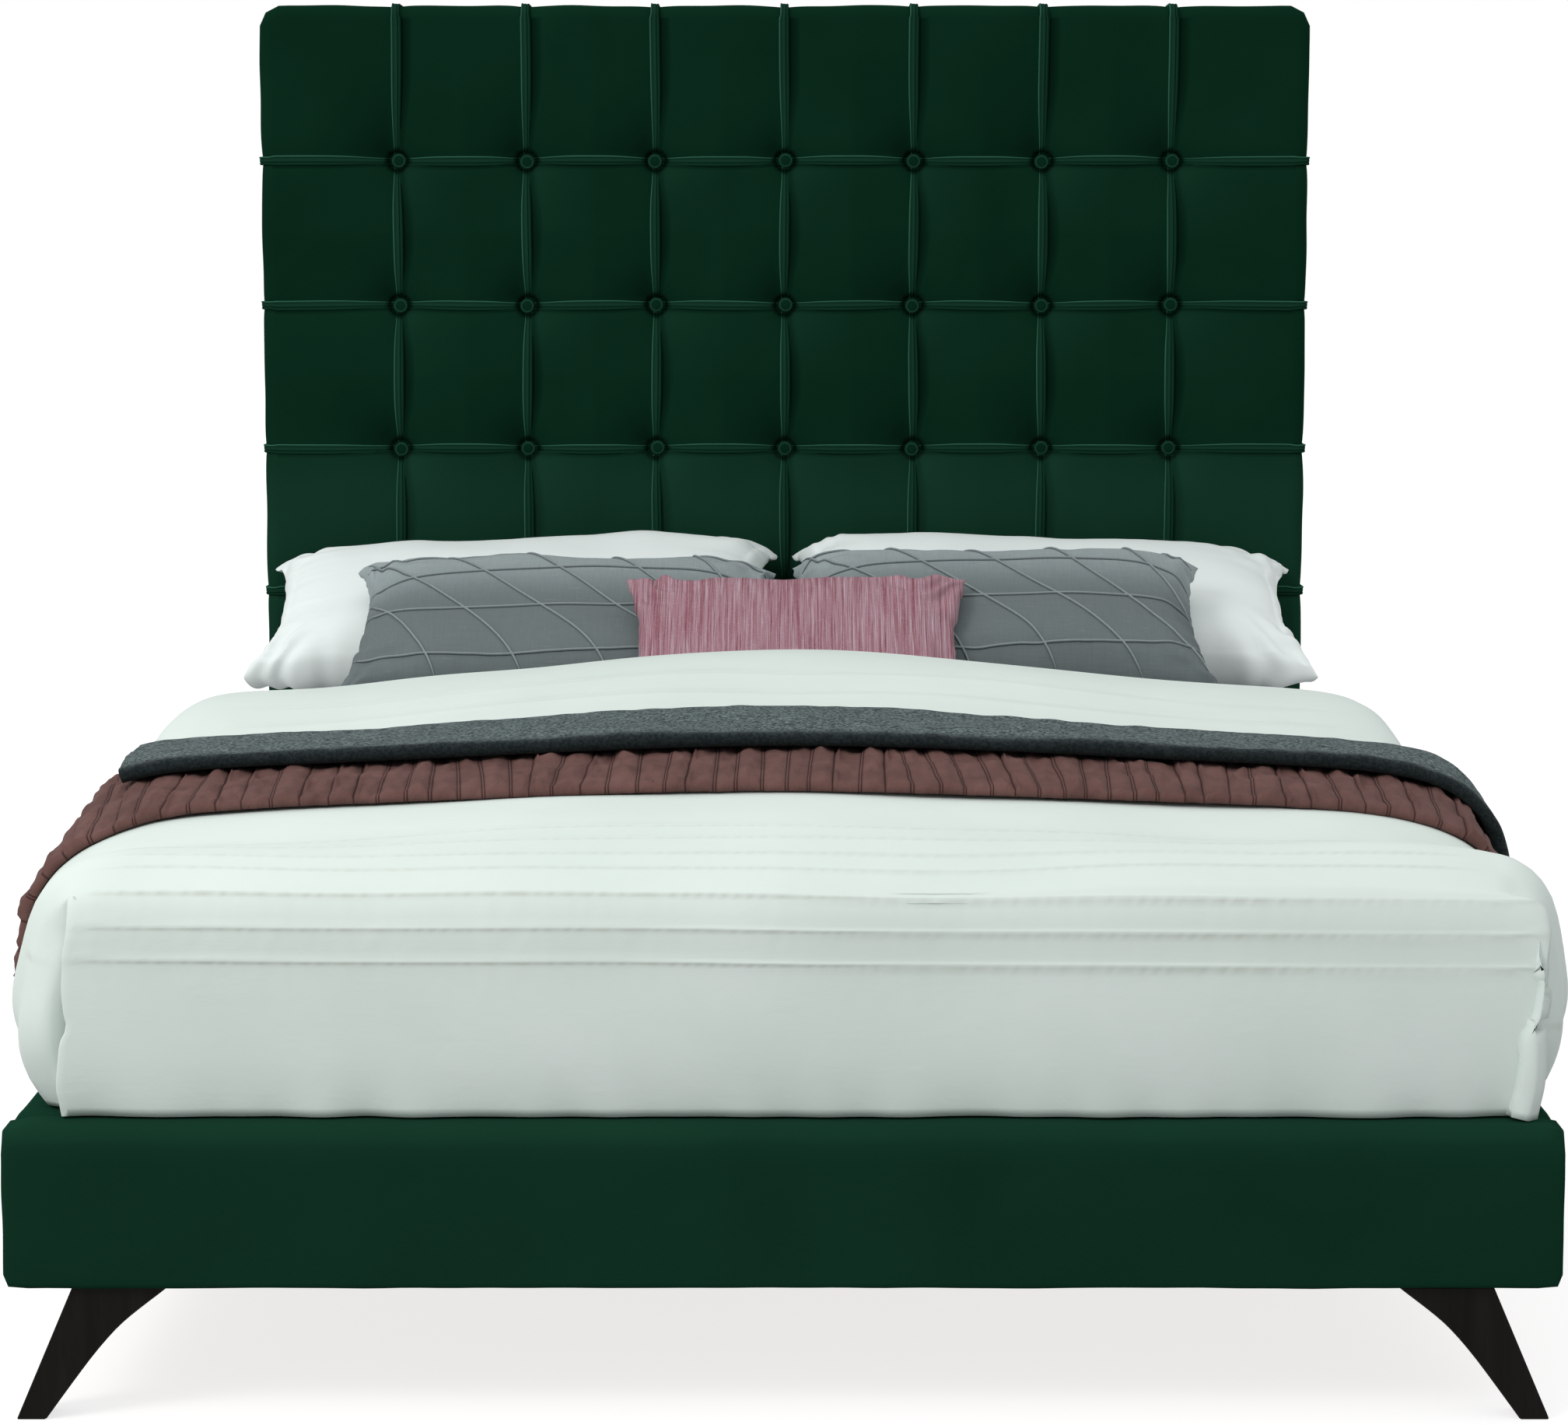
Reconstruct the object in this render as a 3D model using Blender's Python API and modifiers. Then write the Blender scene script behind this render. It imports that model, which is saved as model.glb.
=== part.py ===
"""Upholstered queen bed with a biscuit-tufted headboard, dressed with its bedding.

Units are metres. The foot of the bed is towards -Y, the headboard towards +Y, +Z is up
and the floor is z = 0. Each function makes one sub-part or one family of sub-parts.
"""
import math

import bmesh
import bpy
from mathutils import Vector

# ---- driving dimensions -------------------------------------------------------------
GAP = 0.0003                 # clearance between pieces that touch

BED_HALF_WIDTH = 0.83
FOOT_FACE_Y = -1.10          # front of the footboard
HEAD_BACK_Y = 1.10           # back of the headboard
LEG_HEIGHT = 0.145
RAIL_TOP = 0.32
BOARD_THICK = 0.06           # footboard and side rails over their padding
CORE_THICK = 0.024           # board inside them
HEADBOARD_TOP = 1.61
HEAD_FACE_Y = 1.012          # crests of the headboard's padding

MATTRESS_HALF_WIDTH = 0.762
MATTRESS_LENGTH = 2.032
MATTRESS_BOTTOM = 0.235
MATTRESS_TOP = 0.55
MATTRESS_FOOT_Y = -1.0275
MATTRESS_EDGE = 0.045        # radius of its rounded edges

# tufting of the headboard
TUFT_PITCH_X = 0.2045
TUFT_COLUMNS = (-3, -2, -1, 0, 1, 2, 3)
TUFT_ROW_TOP = 1.366
TUFT_PITCH_Z = 0.228
TUFT_ROWS = 4
TUFT_DEPTH = 0.016
CHANNEL_HALF = 0.0097        # half width of the sunk seam between two puffs
BUTTON_RADIUS = 0.013
CORNER_RADIUS = 0.025

# slatted base
SLAT_COUNT = 12
SLAT_THICK = 0.0194
SLAT_WIDTH = 0.07
BEAM_HALF = 0.02
BEAM_HEIGHT = 0.06
SUPPORT_STATIONS = (-0.45, 0.075, 0.6)
GLIDE_HEIGHT = 0.009
STEM_RADIUS = 0.004

# duvet: its section is a superellipse on top of sides that tuck in towards the rails
HEM_Z = 0.3225
DUVET_FOOT_Y = -1.06
DUVET_HEAD_Y = 0.22
BULGE_Z = 0.46
SHEET_THICK = 0.003
SECTION_STEPS = 32
THROW_GAP = 0.004
BLANKET_THICK = 0.014
WOOL_THICK = 0.018
BLANKET_Y = (-0.79, -0.68, -0.57, -0.41, -0.26, -0.22)
WOOL_Y = (-0.57, -0.41, -0.26)

for old in list(bpy.data.objects):
    bpy.data.objects.remove(old, do_unlink=True)

BED = bpy.data.collections.new("upholstered_bed")
CUTTERS = bpy.data.collections.new("cutters")
bpy.context.scene.collection.children.link(BED)
bpy.context.scene.collection.children.link(CUTTERS)


# ---- helpers --------------------------------------------------------------------------
def finish(name, colour, roughness, metallic=0.0):
    """A plain Principled material."""
    material = bpy.data.materials.new(name)
    material.use_nodes = True
    shader = material.node_tree.nodes["Principled BSDF"]
    shader.inputs["Base Color"].default_value = (*colour, 1.0)
    shader.inputs["Roughness"].default_value = roughness
    shader.inputs["Metallic"].default_value = metallic
    return material


VELVET = finish("green_velvet", (0.006, 0.028, 0.014), 0.75)
ESPRESSO = finish("espresso_wood", (0.011, 0.010, 0.009), 0.35)
PINE = finish("pine", (0.62, 0.44, 0.25), 0.6)
PLYWOOD = finish("plywood", (0.52, 0.36, 0.2), 0.65)
DUST_COVER = finish("black_dust_cover", (0.01, 0.01, 0.011), 0.9)
STEEL = finish("zinc_plated_steel", (0.55, 0.56, 0.58), 0.35, 1.0)
NYLON = finish("black_nylon", (0.02, 0.02, 0.022), 0.5)
TICKING = finish("mattress_ticking", (0.72, 0.72, 0.7), 0.85)
SHEETING = finish("grey_sheeting", (0.12, 0.13, 0.13), 0.85)
COTTON = finish("white_cotton", (0.8, 0.82, 0.8), 0.8)
LINEN = finish("grey_linen", (0.22, 0.26, 0.27), 0.85)
STRIPE = finish("rose_stripe", (0.37, 0.21, 0.25), 0.8)
MAUVE = finish("mauve_ruched_cotton", (0.14, 0.075, 0.07), 0.85)
WOOL = finish("charcoal_wool", (0.09, 0.12, 0.12), 0.9)


def link(name, mesh, material, cutter=False):
    """Put a mesh in the scene as a part of the bed, or as a hidden cutter."""
    obj = bpy.data.objects.new(name, mesh)
    if cutter:
        CUTTERS.objects.link(obj)
        obj.hide_render = True
        obj.display_type = "WIRE"
        return obj
    BED.objects.link(obj)
    mesh.materials.append(material)
    return obj


def mesh_from(bm, name, facing_out=False):
    """Turn a bmesh into mesh data with its faces pointing out."""
    if not facing_out:
        bmesh.ops.recalc_face_normals(bm, faces=bm.faces)
    mesh = bpy.data.meshes.new(name)
    bm.to_mesh(mesh)
    bm.free()
    return mesh


def box(name, low, high, material=None, cutter=False):
    """A box between two corners, with its origin at its centre."""
    low = Vector(low)
    high = Vector(high)
    bm = bmesh.new()
    bmesh.ops.create_cube(bm, size=1.0)
    bmesh.ops.scale(bm, vec=high - low, verts=bm.verts)
    obj = link(name, mesh_from(bm, name), material, cutter)
    obj.location = (low + high) / 2
    return obj


def mirrored(side, low, high):
    """The box corners reflected to the left when side is -1."""
    if side > 0:
        return low, high
    return (-high[0], low[1], low[2]), (-low[0], high[1], high[2])


def soften(obj, radius, segments):
    """Round the edges of a piece."""
    bevel = obj.modifiers.new("rounded_edges", "BEVEL")
    bevel.width = radius
    bevel.segments = segments
    bevel.limit_method = "ANGLE"


def combine(obj, other, operation):
    """Cut a piece with another, or weld the other onto it."""
    boolean = obj.modifiers.new(other.name, "BOOLEAN")
    boolean.operation = operation
    boolean.solver = "EXACT"
    boolean.object = other


def loft(name, rings, material):
    """A closed solid through rings of equally many points, with flat ends."""
    bm = bmesh.new()
    loops = [[bm.verts.new(point) for point in ring] for ring in rings]
    count = len(rings[0])
    for near, far in zip(loops, loops[1:]):
        for i in range(count):
            j = (i + 1) % count
            bm.faces.new((near[i], near[j], far[j], far[i]))
    bm.faces.new(loops[0])
    bm.faces.new(loops[-1])
    return link(name, mesh_from(bm, name), material)


def smooth_step(value):
    """0 to 1 with soft ends."""
    t = min(max(value, 0.0), 1.0)
    return t * t * (3.0 - 2.0 * t)


# ---- padded boards: footboard and side rails ------------------------------------------
def padded_board(name, low, high, core_low, core_high, edge_radius):
    """A board wrapped in foam and velvet, open along its underside."""
    box(name + "_core", core_low, core_high, PLYWOOD)
    cover = box(name + "_cover", low, high, VELVET)
    soften(cover, edge_radius, 3)
    slot_low = [value - GAP for value in core_low]
    slot_high = [value + GAP for value in core_high]
    slot_low[2] -= 0.05
    slot = box(name + "_slot", slot_low, slot_high, cutter=True)
    combine(cover, slot, "DIFFERENCE")


def footboard():
    """Low padded board across the foot."""
    middle = FOOT_FACE_Y + BOARD_THICK * 0.5
    low = (-BED_HALF_WIDTH, FOOT_FACE_Y, LEG_HEIGHT)
    high = (BED_HALF_WIDTH, FOOT_FACE_Y + BOARD_THICK, RAIL_TOP)
    core_low = (-BED_HALF_WIDTH + 0.02, middle - CORE_THICK / 2, LEG_HEIGHT)
    core_high = (BED_HALF_WIDTH - 0.02, middle + CORE_THICK / 2, RAIL_TOP - 0.014)
    padded_board("footboard", low, high, core_low, core_high, 0.02)


def side_rail(side, label):
    """Padded rail from the footboard to the headboard."""
    start = FOOT_FACE_Y + BOARD_THICK + GAP
    end = HEAD_FACE_Y - GAP
    inner = BED_HALF_WIDTH - BOARD_THICK
    low = (inner, start, LEG_HEIGHT)
    high = (BED_HALF_WIDTH, end, RAIL_TOP)
    core_low = (inner + 0.011, start + 0.004, LEG_HEIGHT)
    core_high = (inner + 0.011 + CORE_THICK, end - 0.004, RAIL_TOP - 0.012)
    outer = mirrored(side, low, high)
    inside = mirrored(side, core_low, core_high)
    padded_board("side_rail_" + label, *outer, *inside, 0.01)


# ---- legs -----------------------------------------------------------------------------
def splayed_leg(name, side, front_y):
    """Blade leg: a straight outside edge that leans out, and a flared S-curved inside edge."""
    top = LEG_HEIGHT - GAP
    curve = bpy.data.curves.new(name, "CURVE")
    curve.dimensions = "2D"
    curve.fill_mode = "BOTH"
    curve.extrude = 0.02
    curve.resolution_u = 5
    spline = curve.splines.new("BEZIER")
    # outside foot, inside foot, two points up the inside edge, inside top, outside top
    anchors = [(0.820, 0.0), (0.7885, 0.0), (0.7413, 0.0642), (0.7049, 0.1056), (0.656, top), (0.758, top)]
    slopes = [None, (0.717, 1.0), (0.78, 1.0), (1.08, 1.0), (1.25, 1.0), None]
    spline.bezier_points.add(len(anchors) - 1)
    reach = 0.012
    for point, (x, z), slope in zip(spline.bezier_points, anchors, slopes):
        point.co = (x * side, z, 0.0)
        point.handle_left_type = "FREE"
        point.handle_right_type = "FREE"
        point.handle_left = point.co
        point.handle_right = point.co
        if slope:
            step = Vector((-slope[0] * side, slope[1], 0.0)) * reach
            if z > 0.0:
                point.handle_left = point.co - step
            if z < top:
                point.handle_right = point.co + step
    spline.use_cyclic_u = True
    curve.materials.append(ESPRESSO)
    leg = bpy.data.objects.new(name, curve)
    BED.objects.link(leg)
    leg.rotation_euler = (math.pi / 2, 0.0, 0.0)
    leg.location = (0.0, front_y + curve.extrude, 0.0)
    weld = leg.modifiers.new("closed_caps", "WELD")
    weld.merge_threshold = 0.0001
    soften(leg, 0.0012, 1)


# ---- headboard ------------------------------------------------------------------------
def spread(start, end):
    """Grid lines across one puff, closer together near its seams."""
    return [start + (end - start) * share for share in (0.0, 0.2, 0.5, 0.8, 1.0)]


def puff_lines(seams, low, high, extra):
    """Grid lines over a run of puffs: each seam leaves a flat channel."""
    edges = [low]
    for seam in seams:
        edges += [seam - CHANNEL_HALF, seam + CHANNEL_HALF]
    edges.append(high)
    lines = set(extra)
    for start, end in zip(edges[::2], edges[1::2]):
        lines.update(spread(start, end))
    return sorted(lines), list(zip(edges[::2], edges[1::2]))


def puff_height(value, cells):
    """0 in a seam, 1 in the middle of a puff, along one direction."""
    for start, end in cells:
        if start <= value <= end:
            share = 2.0 * (value - start) / (end - start) - 1.0
            return 1.0 - abs(share) ** 3
    return 0.0


def round_corner(x, z):
    """Pull the two top corners of the headboard's outline onto an arc."""
    reach_x = (abs(x) - (BED_HALF_WIDTH - CORNER_RADIUS)) / CORNER_RADIUS
    reach_z = (z - (HEADBOARD_TOP - CORNER_RADIUS)) / CORNER_RADIUS
    if reach_x <= 0.0 or reach_z <= 0.0:
        return x, z
    new_x = reach_x * math.sqrt(1.0 - reach_z * reach_z / 2.0)
    new_z = reach_z * math.sqrt(1.0 - reach_x * reach_x / 2.0)
    x = math.copysign(BED_HALF_WIDTH - CORNER_RADIUS + new_x * CORNER_RADIUS, x)
    return x, HEADBOARD_TOP - CORNER_RADIUS + new_z * CORNER_RADIUS


def headboard_pad():
    """Foam and velvet over the headboard: puffed front, wrapped sides, open at the back."""
    firm_top = TUFT_ROW_TOP - TUFT_ROWS * TUFT_PITCH_Z
    seam_x = [TUFT_PITCH_X * column for column in TUFT_COLUMNS]
    seam_z = [TUFT_ROW_TOP - TUFT_PITCH_Z * row for row in range(TUFT_ROWS)][::-1]
    corner_x = BED_HALF_WIDTH - CORNER_RADIUS
    corner_z = HEADBOARD_TOP - CORNER_RADIUS
    half_corner = CORNER_RADIUS * 0.6
    xs, cells_x = puff_lines(seam_x, -BED_HALF_WIDTH, BED_HALF_WIDTH,
                             (-corner_x, corner_x, -corner_x - half_corner, corner_x + half_corner))
    zs, cells_z = puff_lines(seam_z, firm_top + CHANNEL_HALF, HEADBOARD_TOP,
                             (LEG_HEIGHT, firm_top - 0.02, firm_top - CHANNEL_HALF,
                              corner_z, corner_z + half_corner))
    valley = HEAD_FACE_Y + TUFT_DEPTH
    bm = bmesh.new()
    bmesh.ops.create_grid(bm, x_segments=len(xs) - 1, y_segments=len(zs) - 1, size=1.0)
    for vert in bm.verts:
        x = xs[round((vert.co.x + 1.0) / 2.0 * (len(xs) - 1))]
        z = zs[round((vert.co.y + 1.0) / 2.0 * (len(zs) - 1))]
        rise = puff_height(x, cells_x) * puff_height(z, cells_z)
        y = valley - TUFT_DEPTH * rise
        if z < firm_top - CHANNEL_HALF - 0.001:
            y = HEAD_FACE_Y
        x, z = round_corner(x, z)
        vert.co = (x, y, z)

    def extrude_rim(place):
        rim = [edge for edge in bm.edges if edge.is_boundary]
        made = bmesh.ops.extrude_edge_only(bm, edges=rim)["geom"]
        for item in made:
            if isinstance(item, bmesh.types.BMVert):
                item.co = place(item.co.copy())

    wall = 0.02
    middle_z = (HEADBOARD_TOP + LEG_HEIGHT) / 2
    shrink_x = (BED_HALF_WIDTH - wall) / BED_HALF_WIDTH
    shrink_z = (HEADBOARD_TOP - wall - middle_z) / (HEADBOARD_TOP - middle_z)
    extrude_rim(lambda co: Vector((co.x, HEAD_BACK_Y, co.z)))
    extrude_rim(lambda co: Vector((co.x * shrink_x, HEAD_BACK_Y, middle_z + (co.z - middle_z) * shrink_z)))
    extrude_rim(lambda co: Vector((co.x, HEAD_FACE_Y + 0.045, co.z)))
    bmesh.ops.contextual_create(bm, geom=[edge for edge in bm.edges if edge.is_boundary])
    link("headboard_pad", mesh_from(bm, "headboard_pad"), VELVET)


def headboard_frame():
    """Plywood face, two posts, three cross rails and the dust cover on the back."""
    half = BED_HALF_WIDTH - 0.0212
    bottom = LEG_HEIGHT + 0.0205
    top = HEADBOARD_TOP - 0.0212
    panel_y = HEAD_FACE_Y + 0.045 + GAP
    timber_y = panel_y + 0.012 + GAP
    back_y = HEAD_BACK_Y - 0.0024
    chamfer = 0.018
    panel = box("headboard_panel", (-half, panel_y, bottom), (half, panel_y + 0.012, top), PLYWOOD)
    cover = box("headboard_dust_cover", (-half, back_y + GAP, bottom), (half, HEAD_BACK_Y - GAP, top),
                DUST_COVER)
    post_width = 0.07
    for side, label in ((-1, "left"), (1, "right")):
        corners = mirrored(side, (half - post_width, timber_y, bottom), (half, back_y, top))
        post = box("headboard_post_" + label, *corners, PINE)
        clip_corner(post, side, half, top, chamfer)
        clip_corner(panel, side, half, top, chamfer)
        clip_corner(cover, side, half, top, chamfer)
    rail_half = half - post_width - GAP
    for label, low, high in (("top", top - 0.07, top), ("middle", 0.86, 0.93), ("bottom", 0.27, 0.34)):
        box("headboard_cross_rail_" + label, (-rail_half, timber_y, low), (rail_half, back_y, high), PINE)


def clip_corner(obj, side, half, top, reach):
    """Cut the top corner of a board at 45 degrees, to sit inside the rounded pad."""
    label = obj.name + ("_clip_left" if side < 0 else "_clip_right")
    cutter = box(label, (-reach, -0.1, -reach), (reach, 0.1, reach), cutter=True)
    cutter.location = (side * half, HEAD_BACK_Y, top)
    cutter.rotation_euler = (0.0, math.pi / 4, 0.0)
    combine(obj, cutter, "DIFFERENCE")


def tuft_row(number):
    """One sewn seam strip across the headboard with the row's seven covered buttons."""
    z = TUFT_ROW_TOP - TUFT_PITCH_Z * (number - 1)
    back = HEAD_FACE_Y + TUFT_DEPTH - GAP
    half = BED_HALF_WIDTH - 0.001
    name = "tuft_row_" + str(number)
    strip = box(name, (-half, back - 0.0045, z - 0.0085), (half, back, z + 0.0085), VELVET)
    bm = bmesh.new()
    for column in TUFT_COLUMNS:
        made = bmesh.ops.create_uvsphere(bm, u_segments=12, v_segments=6, radius=BUTTON_RADIUS)
        for vert in made["verts"]:
            depth = min(vert.co.z * 0.75, 0.0)
            vert.co = (TUFT_PITCH_X * column + vert.co.x, back - 0.0015 + depth, z + vert.co.y)
            if depth == 0.0:
                vert.co.y = back - 0.0001
    bmesh.ops.remove_doubles(bm, verts=bm.verts, dist=0.00001)
    buttons = link(name + "_buttons", mesh_from(bm, name + "_buttons"), None, cutter=True)
    combine(strip, buttons, "UNION")


# ---- slatted base ---------------------------------------------------------------------
def slat_base():
    """Ledges on the rails, slats across them and a beam down the middle."""
    inner = BED_HALF_WIDTH - BOARD_THICK
    slat_bottom = MATTRESS_BOTTOM - GAP - SLAT_THICK
    ledge_top = slat_bottom - GAP
    for side, label in ((-1, "left"), (1, "right")):
        corners = mirrored(side, (inner - 0.03, -0.93, ledge_top - 0.03), (inner - GAP, 0.93, ledge_top))
        box("slat_ledge_" + label, *corners, PINE)
    first = -0.88
    pitch = -2.0 * first / (SLAT_COUNT - 1)
    for i in range(SLAT_COUNT):
        y = first + pitch * i
        slat = box("slat_" + str(i + 1), (-inner + 0.004, y - SLAT_WIDTH / 2, slat_bottom),
                   (inner - 0.004, y + SLAT_WIDTH / 2, slat_bottom + SLAT_THICK), PINE)
        soften(slat, 0.003, 1)
    return ledge_top


def centre_beam(beam_top):
    """Beam under the slats, hung in a steel cup at each end."""
    start = FOOT_FACE_Y + BOARD_THICK + GAP
    end = HEAD_FACE_Y - GAP
    plate = 0.0035
    beam_bottom = beam_top - BEAM_HEIGHT
    box("centre_beam", (-BEAM_HALF, start + plate + GAP, beam_bottom),
        (BEAM_HALF, end - plate - GAP, beam_top), PINE)
    for label, wall, inward in (("foot", start, 1.0), ("head", end, -1.0)):
        cup = 0.055
        low_y = min(wall, wall + inward * cup)
        outer = BEAM_HALF + 0.0045
        hanger = box("beam_hanger_" + label, (-outer, low_y, beam_bottom - 0.004),
                     (outer, low_y + cup, beam_bottom + 0.05), STEEL)
        flange_y = min(wall, wall + inward * plate)
        flange = box("flange_" + label, (-0.05, flange_y, beam_bottom - 0.004),
                     (0.05, flange_y + plate, beam_bottom + 0.05), cutter=True)
        combine(hanger, flange, "UNION")
        pocket_low = wall + plate if inward > 0 else wall - cup - 0.01
        pocket = box("pocket_" + label, (-BEAM_HALF - 0.0005, pocket_low, beam_bottom - 0.0004),
                     (BEAM_HALF + 0.0005, pocket_low + cup + 0.01 - (plate if inward < 0 else 0.0),
                      beam_bottom + 0.1), cutter=True)
        combine(hanger, pocket, "DIFFERENCE")
    return beam_bottom


def support_leg(number, y, top):
    """Square leg under the beam with a levelling glide screwed up into it."""
    half = 0.02
    bore_depth = 0.05
    leg = box("centre_leg_" + str(number), (-half, y - half, GLIDE_HEIGHT + 0.0005), (half, y + half, top), PINE)
    bm = bmesh.new()
    bmesh.ops.create_cone(bm, cap_ends=True, segments=16, radius1=STEM_RADIUS + 0.0006,
                          radius2=STEM_RADIUS + 0.0006, depth=2.0 * bore_depth)
    bore = link("bore_" + str(number), mesh_from(bm, "bore"), None, cutter=True)
    bore.location = (0.0, y, GLIDE_HEIGHT)
    combine(leg, bore, "DIFFERENCE")

    # turned profile from the top of the stem down to the foot pad, then spun round
    stem_top = GLIDE_HEIGHT + 0.045
    profile = [(0.0, stem_top), (STEM_RADIUS, stem_top), (STEM_RADIUS, GLIDE_HEIGHT),
               (0.013, GLIDE_HEIGHT), (0.0175, 0.004), (0.0175, 0.0), (0.0, 0.0)]
    bm = bmesh.new()
    verts = [bm.verts.new((x, 0.0, z)) for x, z in profile]
    for upper, lower in zip(verts, verts[1:]):
        bm.edges.new((upper, lower))
    mesh = bpy.data.meshes.new("levelling_glide")
    bm.to_mesh(mesh)
    bm.free()
    glide = link("levelling_glide_" + str(number), mesh, NYLON)
    glide.location = (0.0, y, 0.0)
    screw = glide.modifiers.new("turned", "SCREW")
    screw.steps = 16
    screw.render_steps = 16
    screw.use_merge_vertices = True
    screw.merge_threshold = 0.00001


def corner_bracket(side, label, wall, inward):
    """Steel angle inside a corner, with two bolts through each leg."""
    rail_face = BED_HALF_WIDTH - BOARD_THICK - GAP
    low, high = 0.16, 0.228
    plate = 0.004
    reach = 0.055
    name = "corner_bracket_" + label
    on_rail = mirrored(side, (rail_face - plate, min(wall, wall + inward * reach), low),
                       (rail_face, max(wall, wall + inward * reach), high))
    bracket = box(name, *on_rail, STEEL)
    on_board = mirrored(side, (rail_face - reach, min(wall, wall + inward * plate), low),
                        (rail_face, max(wall, wall + inward * plate), high))
    combine(bracket, box(name + "_board_leg", *on_board, cutter=True), "UNION")
    bm = bmesh.new()
    for z in (low + 0.018, high - 0.018):
        made = bmesh.ops.create_cone(bm, cap_ends=True, segments=6, radius1=0.007, radius2=0.007, depth=0.007)
        for vert in made["verts"]:
            place = (side * (rail_face - plate - vert.co.z - 0.002), wall + inward * 0.036 + vert.co.x,
                     z + vert.co.y)
            vert.co = place
        made = bmesh.ops.create_cone(bm, cap_ends=True, segments=6, radius1=0.007, radius2=0.007, depth=0.007)
        for vert in made["verts"]:
            place = (side * (rail_face - 0.036) + vert.co.x, wall + inward * (plate + 0.002 + vert.co.z),
                     z + vert.co.y)
            vert.co = place
    bolts = link(name + "_bolts", mesh_from(bm, name + "_bolts"), None, cutter=True)
    combine(bracket, bolts, "UNION")


# ---- mattress and bedding -------------------------------------------------------------
def mattress():
    """Mattress block and the fitted sheet that caps it."""
    low = Vector((-MATTRESS_HALF_WIDTH, MATTRESS_FOOT_Y, MATTRESS_BOTTOM))
    high = Vector((MATTRESS_HALF_WIDTH, MATTRESS_FOOT_Y + MATTRESS_LENGTH, MATTRESS_TOP))
    block = box("mattress", low, high, TICKING)
    soften(block, MATTRESS_EDGE, 3)
    clear = Vector((0.0005, 0.0005, 0.0005))
    skin = Vector((SHEET_THICK, SHEET_THICK, SHEET_THICK))
    sheet_low = low - clear - skin
    sheet_low.z = 0.325
    sheet = box("fitted_sheet", sheet_low, high + clear + skin, SHEETING)
    soften(sheet, MATTRESS_EDGE + SHEET_THICK, 3)
    hollow_low = low - clear
    hollow_low.z = 0.2
    hollow = box("sheet_hollow", hollow_low, high + clear, cutter=True)
    soften(hollow, MATTRESS_EDGE + clear.x, 3)
    combine(sheet, hollow, "DIFFERENCE")
    return sheet_low, high + clear + skin


def duvet_crown(y):
    """Height of the duvet along the middle of the bed: plumper where the throws end."""
    rise = 0.048 * (1.0 - math.exp((DUVET_FOOT_Y - y) / 0.2))
    plump = 0.058 * smooth_step((y + 0.24) / 0.36)
    return 0.578 + rise + plump


def duvet_half_width(y, side):
    """Widest half width of the duvet: it swells behind the tucked foot corners."""
    swell = 0.8574 if side < 0 else 0.835
    foot = smooth_step((y - DUVET_FOOT_Y) / 0.09)
    head = smooth_step((y + 0.05) / 0.27)
    middle = 0.845 + (swell - 0.845) * smooth_step((y + 0.95) / 0.2)
    return 0.785 + (middle - 0.785) * foot - 0.03 * head


def half_section(y, side):
    """Evenly spaced points from the hem on one side to the crown in the middle."""
    width = duvet_half_width(y, side)
    hem = min(width, 0.806)
    crown = duvet_crown(y)
    dense = []
    for i in range(40):
        share = i / 40.0
        dense.append((hem + (width - hem) * math.sin(math.pi / 2 * share), HEM_Z + (BULGE_Z - HEM_Z) * share))
    for i in range(401):
        angle = math.pi / 2 * (i / 400.0) ** 2
        x = width * max(math.cos(angle), 0.0) ** (2.0 / 2.2)
        dense.append((x, BULGE_Z + (crown - BULGE_Z) * math.sin(angle) ** (2.0 / 5.0)))
    lengths = [0.0]
    for near, far in zip(dense, dense[1:]):
        lengths.append(lengths[-1] + math.dist(near, far))
    points = []
    k = 0
    for i in range(SECTION_STEPS // 2 + 1):
        target = lengths[-1] * i / (SECTION_STEPS // 2)
        while k < len(dense) - 2 and lengths[k + 1] < target:
            k += 1
        run = lengths[k + 1] - lengths[k]
        share = (target - lengths[k]) / run
        x = dense[k][0] + (dense[k + 1][0] - dense[k][0]) * share
        z = dense[k][1] + (dense[k + 1][1] - dense[k][1]) * share
        points.append((side * x, z))
    return points


def section(y, offset=0.0):
    """The duvet's outline at one station, left hem to right hem, pushed out by an offset."""
    path = half_section(y, -1) + half_section(y, 1)[-2::-1]
    moved = []
    for i, (x, z) in enumerate(path):
        before = path[max(i - 1, 0)]
        after = path[min(i + 1, len(path) - 1)]
        along = Vector((after[0] - before[0], after[1] - before[1])).normalized()
        moved.append((x - along.y * offset, max(z + along.x * offset, HEM_Z)))
    return moved


def duvet(sheet_low, sheet_high):
    """A thick cap over the foot two thirds of the mattress, down to the rails on three sides."""
    stations = [DUVET_FOOT_Y, -1.052, -1.03, -1.0, -0.95, -0.87, *BLANKET_Y, -0.1, 0.02, 0.1, 0.17,
                DUVET_HEAD_Y]
    rings = [[(x, y, z) for x, z in section(y)] for y in stations]
    quilt = loft("duvet", rings, COTTON)
    margin = Vector((0.001, 0.001, 0.001))
    low = sheet_low - margin
    low.z = 0.1
    high = sheet_high + margin
    high.y = 1.2
    hollow = box("duvet_hollow", low, high, cutter=True)
    soften(hollow, MATTRESS_EDGE + SHEET_THICK, 3)
    combine(quilt, hollow, "DIFFERENCE")


def throw(name, stations, first, last, under, thick, material):
    """A folded blanket laid across the duvet, following its outline."""
    lower = {y: section(y, under) for y in stations}
    upper = {y: section(y, under + thick) for y in stations}
    rings = []
    for i in range(first, last + 1):
        ring = [(upper[y][i][0], y, upper[y][i][1]) for y in stations]
        ring += [(lower[y][i][0], y, lower[y][i][1]) for y in reversed(stations)]
        rings.append(ring)
    loft(name, rings, material)


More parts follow.
